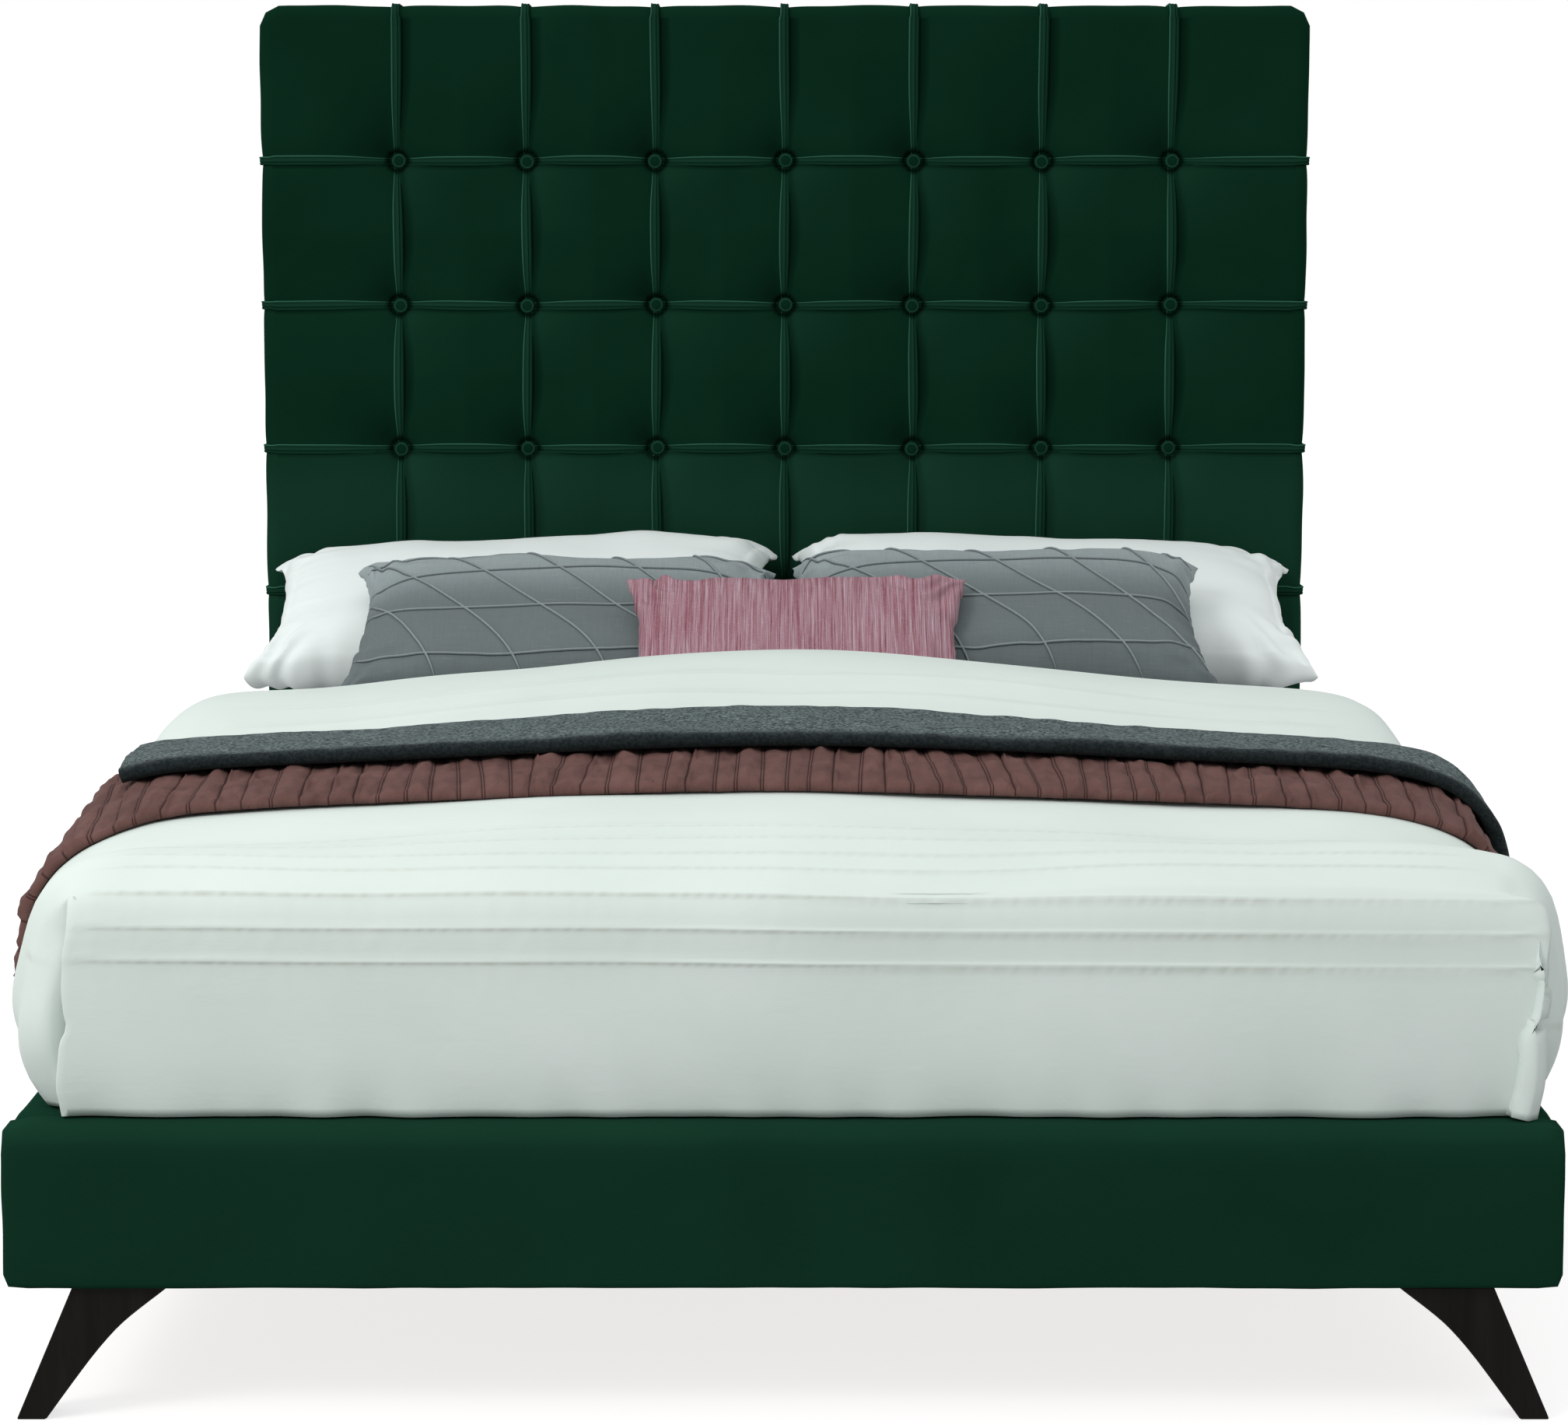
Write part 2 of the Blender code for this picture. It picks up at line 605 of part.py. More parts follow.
def cushion(name, centre, half_width, seam_foot, seam_head, swell, sag, material):
    """A filled pillow: its seam runs in a leaning plane, crowned above and settled below."""
    across, along = 10, 8
    foot = Vector((0.0, *seam_foot))
    head = Vector((0.0, *seam_head))
    middle = (foot + head) / 2
    half_run = (head - foot) / 2
    normal = Vector((0.0, -half_run.z, half_run.y)).normalized()
    floor = MATTRESS_TOP + 0.0045
    bm = bmesh.new()
    for face_side in (1, -1):
        made = bmesh.ops.create_grid(bm, x_segments=across, y_segments=along, size=1.0)
        for vert in made["verts"]:
            u, v = vert.co.x, vert.co.y
            u = math.copysign(abs(u) ** 0.8, u)
            v = math.copysign(abs(v) ** 0.8, v)
            fill = math.sqrt(max(1.0 - u ** 4, 0.0) * max(1.0 - v ** 4, 0.0))
            waist_x = 1.0 - 0.05 * (1.0 - v * v) * u * u
            waist_v = 1.0 - 0.04 * (1.0 - u * u) * v * v
            lift = swell * fill if face_side > 0 else -sag * fill * (1.0 - v) / 2.0
            place = middle + half_run * (v * waist_v) + normal * lift
            place.x = centre + half_width * u * waist_x
            place.z = max(place.z, floor)
            vert.co = place
        if face_side < 0:
            under = {face for vert in made["verts"] for face in vert.link_faces}
            bmesh.ops.reverse_faces(bm, faces=list(under))
    bmesh.ops.remove_doubles(bm, verts=bm.verts, dist=0.00001)
    link(name, mesh_from(bm, name, facing_out=True), material)


# ---- assembly -------------------------------------------------------------------------
footboard()
side_rail(-1, "left")
side_rail(1, "right")
headboard_pad()
headboard_frame()
for row in range(1, TUFT_ROWS + 1):
    tuft_row(row)
for leg_side, leg_label in ((-1, "left"), (1, "right")):
    splayed_leg("front_leg_" + leg_label, leg_side, FOOT_FACE_Y + 0.012)
    splayed_leg("rear_leg_" + leg_label, leg_side, HEAD_FACE_Y + 0.022)
LEDGE_TOP = slat_base()
BEAM_BOTTOM = centre_beam(LEDGE_TOP)
for index, station in enumerate(SUPPORT_STATIONS):
    support_leg(index + 1, station, BEAM_BOTTOM - GAP)
FOOT_WALL = FOOT_FACE_Y + BOARD_THICK + GAP
HEAD_WALL = HEAD_FACE_Y - GAP
for leg_side, leg_label in ((-1, "left"), (1, "right")):
    corner_bracket(leg_side, "foot_" + leg_label, FOOT_WALL, 1.0)
    corner_bracket(leg_side, "head_" + leg_label, HEAD_WALL, -1.0)
SHEET_LOW, SHEET_HIGH = mattress()
duvet(SHEET_LOW, SHEET_HIGH)
throw("mauve_blanket", BLANKET_Y, 1, SECTION_STEPS - 2, THROW_GAP, BLANKET_THICK, MAUVE)
throw("charcoal_throw", WOOL_Y, 5, SECTION_STEPS - 2, 2 * THROW_GAP + BLANKET_THICK, WOOL_THICK, WOOL)
cushion("white_pillow_left", -0.4105, 0.4045, (0.60, 0.585), (0.99, 0.715), 0.105, 0.06, COTTON)
cushion("white_pillow_right", 0.406, 0.402, (0.60, 0.585), (0.99, 0.715), 0.105, 0.06, COTTON)
cushion("grey_pillow_left", -0.3265, 0.3225, (0.365, 0.589), (0.70, 0.745), 0.082, 0.02, LINEN)
cushion("grey_pillow_right", 0.319, 0.315, (0.365, 0.589), (0.70, 0.745), 0.082, 0.02, LINEN)
cushion("lumbar_pillow", 0.018, 0.251, (0.24, 0.587), (0.472, 0.755), 0.048, 0.008, STRIPE)
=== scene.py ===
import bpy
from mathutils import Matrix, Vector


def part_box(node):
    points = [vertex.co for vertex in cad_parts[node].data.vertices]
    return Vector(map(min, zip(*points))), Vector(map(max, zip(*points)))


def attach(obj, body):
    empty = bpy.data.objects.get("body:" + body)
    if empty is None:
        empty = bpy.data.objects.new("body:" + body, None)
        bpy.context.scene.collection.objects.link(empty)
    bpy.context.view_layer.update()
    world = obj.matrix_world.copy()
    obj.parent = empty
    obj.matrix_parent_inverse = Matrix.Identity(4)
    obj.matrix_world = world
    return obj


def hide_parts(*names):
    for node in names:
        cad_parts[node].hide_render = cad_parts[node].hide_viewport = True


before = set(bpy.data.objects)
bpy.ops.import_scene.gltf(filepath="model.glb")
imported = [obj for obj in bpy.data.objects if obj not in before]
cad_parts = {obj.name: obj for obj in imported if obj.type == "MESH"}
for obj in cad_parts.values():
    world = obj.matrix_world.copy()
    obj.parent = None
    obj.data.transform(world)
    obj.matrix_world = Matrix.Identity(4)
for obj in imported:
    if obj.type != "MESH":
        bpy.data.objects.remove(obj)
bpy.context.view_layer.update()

# %% [markdown]
# This lesson dresses a plain CAD model of an upholstered queen bed, so that it looks like
# the real one: tufted green velvet on the headboard, dark splayed legs, and bedding.
# The CAD model gives every size. The lesson only adds surfaces and finishes to it.

# %% The tools of the lesson
import math

import bmesh
import bpy
import numpy as np
from mathutils import Vector
from mathutils.bvhtree import BVHTree

HEAD_FACE, HEAD_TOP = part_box("headboard_pad")[0].y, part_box("headboard_pad")[1].z
HEAD_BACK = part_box("headboard_pad")[1].y
HALF_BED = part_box("headboard_pad")[1].x
LEG_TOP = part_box("headboard_pad")[0].z
RAIL_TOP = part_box("footboard_cover")[1].z
FOOT_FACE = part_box("footboard_cover")[0].y
print("headboard face", round(HEAD_FACE, 4), "rail top", round(RAIL_TOP, 4))

# %% [markdown]
# The camera stands in front of the foot of the bed, above the headboard's middle, and looks
# slightly down. A long lens keeps the headboard and footboard nearly the same width. One
# large lamp stands high on the left, so that the tufting shows.

# %% Camera and lamp
scene = bpy.context.scene
lens = bpy.data.cameras.new("camera")
lens.lens = 87.03
lens.shift_x = -0.0024
lens.shift_y = -0.05
camera = bpy.data.objects.new("camera", lens)
camera.location = (0.005, -5.027, 1.280)
camera.rotation_euler = (math.radians(90.0 - 6.30), 0.0, 0.0)
scene.collection.objects.link(camera)
scene.camera = camera
scene.view_settings.view_transform = "Standard"


def lamp(name, place, target, size, power, colour):
    """A square soft lamp that points at a target."""
    light = bpy.data.lights.new(name, "AREA")
    light.size, light.energy, light.color = size, power, colour
    obj = bpy.data.objects.new(name, light)
    obj.location = place
    obj.rotation_euler = (Vector(target) - Vector(place)).to_track_quat("-Z", "Y").to_euler()
    scene.collection.objects.link(obj)


lamp("key_lamp", (-3.2, -3.4, 3.6), (0.0, 0.3, 0.8), 1.6, 90.0, (1.0, 0.99, 0.97))
print("camera at", tuple(round(v, 3) for v in camera.location))

# %% [markdown]
# Shader maths reads like Python here. A Wire holds one output socket, and its operators add
# Math nodes, so that 1 - mask * 0.5 is a line of code. Nodes holds one node tree, and its
# node method makes any other node from a type, its settings and its inputs. A Finish is the
# Nodes of one material, which knows how to feed its shader.


# %% Wires and finishes
class Wire:
    """An output socket that can be used in sums."""

    def __init__(self, tree, socket):
        self.tree, self.socket = tree, socket

    def math(self, operation, *values):
        node = self.tree.nodes.new("ShaderNodeMath")
        node.operation = operation
        for slot, value in zip(node.inputs, values):
            plug(self.tree, slot, value)
        return Wire(self.tree, node.outputs[0])

    def __add__(self, other): return self.math("ADD", self, other)
    def __radd__(self, other): return self.math("ADD", other, self)
    def __sub__(self, other): return self.math("SUBTRACT", self, other)
    def __rsub__(self, other): return self.math("SUBTRACT", other, self)
    def __mul__(self, other): return self.math("MULTIPLY", self, other)
    def __rmul__(self, other): return self.math("MULTIPLY", other, self)
    def __truediv__(self, other): return self.math("DIVIDE", self, other)
    def __rtruediv__(self, other): return self.math("DIVIDE", other, self)
    def __pow__(self, other): return self.math("POWER", self, other)

    def clamp(self):
        return self.math("MINIMUM", self.math("MAXIMUM", self, 0.0), 1.0)

    def sine(self):
        return self.math("SINE", self)


def plug(tree, slot, value):
    """Link a wire to a socket, or set a plain value on it."""
    if isinstance(value, Wire):
        tree.links.new(value.socket, slot)
    elif isinstance(value, (tuple, list)) and len(value) == 3 and slot.type == "RGBA":
        slot.default_value = (*value, 1.0)
    else:
        slot.default_value = value


class Nodes:
    """Makes the nodes of one tree. Places on a piece are in metres."""

    def __init__(self, tree, place):
        self.tree = tree
        self.metres = self.node("ShaderNodeTexCoord", out=place)

    def node(self, kind, settings=None, out=0, **inputs):
        made = self.tree.nodes.new(kind)
        for key, value in (settings or {}).items():
            setattr(made, key, value)
        for socket, value in inputs.items():
            plug(self.tree, made.inputs[socket.replace("_", " ")], value)
        return Wire(self.tree, made.outputs[out])

    def stretch(self, scale):
        """The place on the piece in metres, scaled per axis."""
        return self.node("ShaderNodeMapping", None, "Vector", Vector=self.metres, Scale=scale)

    def noise(self, scale, detail=3.0, rough=0.5, vector=None, bend=0.0):
        return self.node("ShaderNodeTexNoise", None, 0, Vector=vector or self.metres, Scale=scale,
                         Detail=detail, Roughness=rough, Distortion=bend)

    def axis(self, letter):
        return self.node("ShaderNodeSeparateXYZ", None, letter, Vector=self.metres)

    def mark(self, name):
        """A number painted on the mesh's points, 0 where the mesh has none."""
        return self.node("ShaderNodeAttribute", {"attribute_name": name}, "Fac")

    def mix(self, factor, first, second):
        made = self.tree.nodes.new("ShaderNodeMix")
        made.data_type = "RGBA"
        plug(self.tree, made.inputs[0], factor)
        plug(self.tree, made.inputs[6], first)
        plug(self.tree, made.inputs[7], second)
        return Wire(self.tree, made.outputs[2])

    def span(self, value, low, high):
        """0 where value is low, 1 where it is high."""
        return ((value - low) / (high - low)).clamp()


class Finish(Nodes):
    """One procedural material: plain values go straight on the shader's sockets."""

    def __init__(self, name, **fixed):
        self.material = bpy.data.materials.new(name)
        self.material.use_nodes = True
        super().__init__(self.material.node_tree, "Object")
        self.shader = self.tree.nodes["Principled BSDF"]
        for socket, value in fixed.items():
            plug(self.tree, self.shader.inputs[socket.replace("_", " ")], value)

    def paint(self, colour=None, roughness=None, height=None, depth=0.001, strength=1.0):
        """Feed the shader: colour, roughness and a bump of the given depth in metres."""
        if colour is not None:
            plug(self.tree, self.shader.inputs["Base Color"], colour)
        if roughness is not None:
            plug(self.tree, self.shader.inputs["Roughness"], roughness)
        if height is not None:
            bump = self.node("ShaderNodeBump", None, 0, Height=height, Distance=depth, Strength=strength)
            plug(self.tree, self.shader.inputs["Normal"], bump)
        return self.material


# %% [markdown]
# The room is a white studio. It is brightest overhead, a little dimmer in front, and dimmest
# on the right, so that round things have a light side and a dark side. What shows behind the
# bed is plain white, whatever the room's light is, as in a catalogue.


# %% The studio's light
def studio():
    room = bpy.data.worlds.new("white_studio")
    room.use_nodes = True
    n = Nodes(room.node_tree, "Generated")
    x, y, z = n.axis("X"), n.axis("Y"), n.axis("Z")
    left, right = x.math("MAXIMUM", x * -1.0, 0.0), x.math("MAXIMUM", x, 0.0)
    front, back = y.math("MAXIMUM", y * -1.0, 0.0), y.math("MAXIMUM", y, 0.0)
    flat = z.math("MAXIMUM", 0.001, 1.0 - z * z)
    level = (left * left * 0.72 + right * right * 0.40 + front * front * 0.80 + back * back * 0.95) / flat
    sky = n.span(z, 0.0, 1.0)
    light = level * (1.0 - sky) + sky * 0.98
    under = n.span(z, 0.0, -0.06)
    light = light * (1.0 - under) + under * 0.42
    seen = n.node("ShaderNodeLightPath", out="Is Camera Ray")
    shown = n.mix(seen, n.node("ShaderNodeCombineColor", None, 0, Red=light, Green=light, Blue=light),
                  (1.0, 1.0, 1.0))
    plug(n.tree, room.node_tree.nodes["Background"].inputs["Color"], shown)
    scene.world = room
    return room


print("room", studio().name)

# %% [markdown]
# Velvet is a short dense pile, so it drinks light: almost no gloss, a very dark base, and a
# faint glow at grazing angles, which is what the shader's sheen is for. The pile lies a
# little differently from place to place, which shows as broad soft patches. Two marks paint
# light and shade into the colour: the crease mark is painted shade, in seams, round buttons
# and on slopes that face away from the lamp, and the paler mark is painted light, where the
# lamp or the white pillows light the pile.


# %% Velvet
def velvet():
    f = Finish("green_velvet", Specular_IOR_Level=0.0, Sheen_Weight=0.035, Sheen_Roughness=0.4,
               Sheen_Tint=(0.25, 0.75, 0.50))
    patches = f.noise(4.0, 3.0, 0.5, bend=0.4)
    nap = f.noise(260.0, 2.0)
    lie = f.span(patches, 0.32, 0.70) * 0.65 + nap * 0.35
    colour = f.mix(lie, (0.0031, 0.0215, 0.0108), (0.0047, 0.0305, 0.0158))
    # painted shade from the crease mark, then painted light from the paler mark
    colour = f.mix(f.mark("crease").clamp(), colour, (0.0006, 0.0030, 0.0016))
    colour = f.mix(f.mark("painted_light").clamp(), colour, (0.045, 0.165, 0.110))
    return f.paint(colour, 0.78 + nap * 0.16, f.noise(700.0, 2.0) + nap * 0.5, 0.0005, 0.35)


VELVET = velvet()
print("finish", VELVET.name)

# %% [markdown]
# The legs are solid wood with a near-black stain under satin lacquer. The grain runs down
# the blade and is only just lighter than the stain. The hidden boards are planed pine, whose
# grain follows their length, and birch plywood.


# %% Wood finishes
def espresso():
    f = Finish("espresso_wood", Specular_IOR_Level=0.06, Coat_Roughness=0.4, Coat_Weight=0.0)
    fibre = f.noise(60.0, 5.0, 0.6, f.stretch((1.0, 1.0, 0.07)), 0.6)
    pores = f.span(f.noise(420.0, 2.0, 0.5, f.stretch((1.0, 1.0, 0.05))), 0.62, 0.75)
    colour = f.mix(f.span(fibre, 0.3, 0.75), (0.0052, 0.0049, 0.0043), (0.0112, 0.0102, 0.0088))
    colour = f.mix(pores * 0.6, colour, (0.003, 0.003, 0.003))
    return f.paint(colour, 0.38 + fibre * 0.2, fibre - pores * 0.6, 0.0004, 0.4)


def softwood(axis):
    """Planed pine with its grain along one axis."""
    along = {"x": (0.05, 1.0, 1.0), "y": (1.0, 0.05, 1.0), "z": (1.0, 1.0, 0.05)}[axis]
    f = Finish("pine_along_" + axis, Specular_IOR_Level=0.3)
    bands = f.noise(34.0, 4.0, 0.55, f.stretch(along), 1.2)
    rings = (bands * 60.0).sine() * 0.5 + 0.5
    fibre = f.noise(300.0, 3.0, 0.6, f.stretch(along))
    knots = f.span(f.noise(7.0, 1.0, 0.4, f.stretch(tuple(v ** 0.4 for v in along))), 0.70, 0.76)
    colour = f.mix(rings * 0.6 + fibre * 0.4, (0.66, 0.46, 0.26), (0.49, 0.30, 0.14))
    colour = f.mix(knots, colour, (0.22, 0.10, 0.04))
    return f.paint(colour, 0.5 + fibre * 0.2, rings * 0.3 + fibre, 0.0005, 0.4)


def birch_ply(across):
    """Birch plywood, whose glued layers show along the axis across its thickness."""
    f = Finish("plywood_across_" + across, Specular_IOR_Level=0.3)
    depth = f.axis(across.upper())
    layers = f.span((depth * 2.0 * math.pi / 0.003).sine(), -0.25, 0.25)
    fibre = f.noise(160.0, 4.0, 0.6, f.stretch((0.08, 1.0, 1.0)))
    colour = f.mix(fibre, (0.60, 0.43, 0.26), (0.47, 0.31, 0.17))
    colour = f.mix(layers * 0.35, colour, (0.25, 0.15, 0.08))
    return f.paint(colour, 0.6 + fibre * 0.15, layers * 0.5 + fibre, 0.0004, 0.4)


ESPRESSO = espresso()
PINE = {axis: softwood(axis) for axis in "xyz"}
PLY = {axis: birch_ply(axis) for axis in "xy"}
print("wood finishes", 1 + len(PINE) + len(PLY))

# %% [markdown]
# The steel parts are zinc plated, so they are dull, faintly blotched metal. The glides are
# moulded nylon with a fine grain. The back of the headboard is closed with black non-woven
# cloth, which is fibre pressed together in a close pattern of tiny dots.


# %% Metal, nylon and backing cloth
def zinc():
    f = Finish("zinc_plated_steel", Metallic=1.0)
    spangle = f.noise(90.0, 4.0, 0.6)
    colour = f.mix(spangle, (0.44, 0.45, 0.47), (0.64, 0.65, 0.66))
    return f.paint(colour, 0.28 + spangle * 0.25, f.noise(500.0, 2.0), 0.0003, 0.25)


def nylon():
    f = Finish("black_nylon", Specular_IOR_Level=0.3)
    grain = f.noise(900.0, 2.0)
    return f.paint(f.mix(grain, (0.010, 0.010, 0.011), (0.022, 0.022, 0.024)), 0.45 + grain * 0.15,
                   grain, 0.0003, 0.4)


def backing():
    f = Finish("black_backing_cloth", Specular_IOR_Level=0.12, Sheen_Weight=0.08, Sheen_Roughness=0.5)
    fibre = f.noise(240.0, 4.0, 0.7)
    dots = f.node("ShaderNodeTexVoronoi", None, "Distance", Vector=f.metres, Scale=420.0)
    colour = f.mix(fibre, (0.010, 0.010, 0.011), (0.030, 0.030, 0.032))
    return f.paint(colour, 0.85 + fibre * 0.1, dots + fibre * 0.6, 0.0004, 0.5)


ZINC, NYLON, BACKING = zinc(), nylon(), backing()
print("hardware finishes", ZINC.name, NYLON.name, BACKING.name)

# %% [markdown]
# The bedding has eight cloths. A weave's threads are thinner than half a millimetre, so
# each is a fine bump with soft variation over it. What tells them apart at arm's length is
# larger: washed cotton is smooth and faintly mottled, linen has thick and thin yarns that
# show as short streaks both ways, and the striped cushion's warp changes colour from yarn
# to yarn. The wool is a mixture of dark and pale fibres with a fuzzy surface.


# %% Bedding cloths
def washed_cotton(name, low, high, stitch_and_shade):
    f = Finish(name, Specular_IOR_Level=0.08, Sheen_Weight=0.03, Sheen_Roughness=0.5)
    mottle = f.noise(4.0, 4.0, 0.55)
    slub = f.noise(170.0, 3.0, 0.6, f.stretch((0.12, 1.0, 1.0)))
    creases = f.noise(30.0, 4.0, 0.6, bend=0.8)
    colour = f.mix(f.span(mottle, 0.3, 0.7), low, high)
    # the stitch mark paints stitching and taped edges, and on the duvet the painted shadow under its tucks
    colour = f.mix(f.mark("stitch_and_shade").clamp(), colour, stitch_and_shade)
    return f.paint(colour, 0.72 + slub * 0.15, slub * 0.25 + creases * 0.9, 0.0014, 0.35)


def linen():
    f = Finish("grey_linen", Specular_IOR_Level=0.06, Sheen_Weight=0.04, Sheen_Roughness=0.5)
    weft = f.noise(420.0, 3.0, 0.6, f.stretch((0.045, 1.0, 1.0)))
    warp = f.noise(420.0, 3.0, 0.6, f.stretch((1.0, 0.06, 0.06)))
    flecks = f.span(f.noise(260.0, 2.0, 0.5, f.stretch((0.10, 1.0, 1.0))), 0.66, 0.74)
    folds = f.noise(24.0, 4.0, 0.6, bend=0.7)
    colour = f.mix(weft * 0.5 + warp * 0.5, (0.225, 0.272, 0.280), (0.390, 0.448, 0.458))
    colour = f.mix(flecks * 0.35, colour, (0.56, 0.60, 0.60))
    # painted shade on the pillows' lower front and on their tucks, from the shade mark
    colour = f.mix(f.mark("shade").clamp() * 0.85, colour, (0.050, 0.064, 0.066))
    return f.paint(colour, 0.85, weft + warp + folds * 2.0, 0.0012, 0.35)


def rose_stripe():
    f = Finish("rose_stripe", Specular_IOR_Level=0.06, Sheen_Weight=0.03, Sheen_Roughness=0.5)
    yarn = f.stretch((1.0, 0.012, 0.012))
    broad = f.noise(260.0, 3.0, 0.65, yarn)
    fine = f.noise(900.0, 2.0, 0.6, yarn)
    weft = f.noise(700.0, 2.0, 0.5, f.stretch((0.3, 1.0, 1.0)))
    colour = f.mix(f.span(broad, 0.38, 0.62), (0.270, 0.112, 0.142), (0.385, 0.235, 0.276))
    colour = f.mix(f.span(fine, 0.56, 0.66) * 0.60, colour, (0.560, 0.500, 0.560))
    colour = f.mix(f.span(fine, 0.42, 0.34) * 0.8, colour, (0.150, 0.022, 0.045))
    colour = f.mix(f.span(weft, 0.55, 0.75) * 0.3, colour, (0.56, 0.46, 0.52))
    return f.paint(colour, 0.8, fine * 1.2 + weft, 0.0009, 0.5)


def mauve_cotton():
    f = Finish("mauve_ruched_cotton", Specular_IOR_Level=0.04, Sheen_Weight=0.02, Sheen_Roughness=0.5)
    mottle = f.noise(14.0, 4.0, 0.6)
    slub = f.noise(260.0, 3.0, 0.6)
    crush = f.noise(75.0, 4.0, 0.65, f.stretch((1.0, 0.35, 0.6)), 1.0)
    colour = f.mix(f.span(mottle, 0.3, 0.7), (0.107, 0.055, 0.050), (0.160, 0.083, 0.074))
    colour = f.mix(f.mark("stitch_and_shade").clamp(), colour, (0.020, 0.009, 0.009))
    return f.paint(colour, 0.82, slub * 0.3 + crush * 1.6, 0.0030, 0.55)


def wool():
    f = Finish("charcoal_wool", Specular_IOR_Level=0.03, Sheen_Weight=0.04, Sheen_Roughness=0.6)
    fleck = f.noise(230.0, 3.0, 0.7)
    cloud = f.noise(55.0, 3.0, 0.6)
    fuzz = f.noise(900.0, 2.0, 0.6)
    heather = f.span(fleck * 0.85 + cloud * 0.15, 0.43, 0.60)
    colour = f.mix(heather, (0.024, 0.038, 0.041), (0.178, 0.228, 0.231))
    # painted shade from the crease mark
    colour = f.mix(f.mark("crease").clamp(), colour, (0.009, 0.014, 0.015))
    return f.paint(colour, 0.9, fleck + fuzz, 0.0015, 0.6)


COTTON = washed_cotton("white_cotton", (0.660, 0.745, 0.705), (0.715, 0.795, 0.760), (0.52, 0.56, 0.51))
PILLOW_COTTON = washed_cotton("pillow_cotton", (0.79, 0.860, 0.850), (0.84, 0.905, 0.895), (0.5, 0.55, 0.53))
SHEETING = washed_cotton("grey_sheeting", (0.095, 0.115, 0.118), (0.125, 0.148, 0.150), (0.05, 0.06, 0.06))
TICKING = washed_cotton("mattress_ticking", (0.60, 0.61, 0.60), (0.68, 0.69, 0.68), (0.22, 0.24, 0.28))
LINEN, STRIPE, MAUVE, WOOL = linen(), rose_stripe(), mauve_cotton(), wool()
print("bedding cloths made, the last is", WOOL.name)

# %% [markdown]
# Most pieces here are grids of points worked out by a formula, since cloth is a surface
# with two directions. These helpers turn rows of points into a mesh, lay a strip along a
# path, and give a smooth wandering number, which is a sum of a few seeded waves.


# %% Mesh helpers
def smooth(value):
    """0 to 1 with soft ends, on numbers or arrays."""
    t = np.clip(value, 0.0, 1.0)
    return t * t * (3.0 - 2.0 * t)


def wander(first, second, size, seed, count=14):
    """A smooth random surface of about -1 to 1, with waves of about the given size."""
    pick = np.random.default_rng(seed)
    total = np.zeros(np.broadcast(first, second).shape)
    for _ in range(count):
        angle, phase = pick.uniform(0.0, math.pi), pick.uniform(0.0, 2.0 * math.pi)
        turn = 2.0 * math.pi / (size * pick.uniform(0.7, 1.9))
        total = total + np.cos(turn * (math.cos(angle) * first + math.sin(angle) * second) + phase)
    return total / math.sqrt(count)


def grid_faces(rows, columns, start=0, ring=False):
    """Four-sided faces over a block of points stored row by row."""
    faces = []
    last = columns if ring else columns - 1
    for r in range(rows - 1):
        for c in range(last):
            d = (c + 1) % columns
            a = start + r * columns
            faces.append((a + c, a + d, a + columns + d, a + columns + c))
    return faces


def tube_faces(rings, count):
    """Faces over a stack of rings, with both ends filled."""
    first, last = tuple(range(count - 1, -1, -1)), tuple(range((rings - 1) * count, rings * count))
    return grid_faces(rings, count, ring=True) + [first, last]


def merge(parts):
    """One list of points and one of faces, out of several pairs of them."""
    points, faces = [], []
    for made, quads in parts:
        faces += [tuple(k + len(points) for k in quad) for quad in quads]
        points += [tuple(p) for p in made]
    return points, faces


def piece(name, points, faces, finish, marks=None):
    """A smooth-shaded mesh object, with its painted marks."""
    mesh = bpy.data.meshes.new(name)
    mesh.from_pydata([tuple(map(float, p)) for p in points], [], faces)
    mesh.materials.append(finish)
    mesh.polygons.foreach_set("use_smooth", [True] * len(mesh.polygons))
    obj = bpy.data.objects.new(name, mesh)
    for mark, values in (marks or {}).items():
        paint(obj, mark, values)
    mesh.update()
    scene.collection.objects.link(obj)
    return obj


def face_out(obj):
    """Turn the faces of a closed mesh outwards."""
    bm = bmesh.new()
    bm.from_mesh(obj.data)
    bmesh.ops.recalc_face_normals(bm, faces=bm.faces)
    bm.to_mesh(obj.data)
    bm.free()
    return obj


def read_vectors(obj, what="co"):
    """The mesh's points, or their normals, one row each."""
    store = np.zeros(len(obj.data.vertices) * 3, np.float32)
    obj.data.vertices.foreach_get(what, store)
    return store.reshape(-1, 3).astype(float)


def write_points(obj, points):
    obj.data.vertices.foreach_set("co", np.asarray(points, np.float32).ravel())
    obj.data.update()


def paint(obj, mark, values):
    """Paint one number on each point of a mesh."""
    layer = obj.data.attributes.new(mark, "FLOAT", "POINT")
    layer.data.foreach_set("value", np.asarray(values, np.float32).ravel())


def belongs(obj, body, node=None):
    """Put a piece on its body, and hide the CAD node that it stands for."""
    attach(obj, body)
    if node:
        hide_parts(node)
    return obj


def spread_lines(centres, offsets, low, high, step):
    """Sorted grid lines: close together round each centre, and at most a step apart."""
    lines = {low, high}
    for centre in centres:
        lines.update(centre + o for o in offsets if low < centre + o < high)
    lines = sorted(lines)
    full = []
    for near, far in zip(lines, lines[1:]):
        count = max(1, math.ceil((far - near) / step))
        full += [near + (far - near) * i / count for i in range(count)]
    full.append(high)
    return np.array([v for i, v in enumerate(full) if i == 0 or v - full[i - 1] > 0.0004])


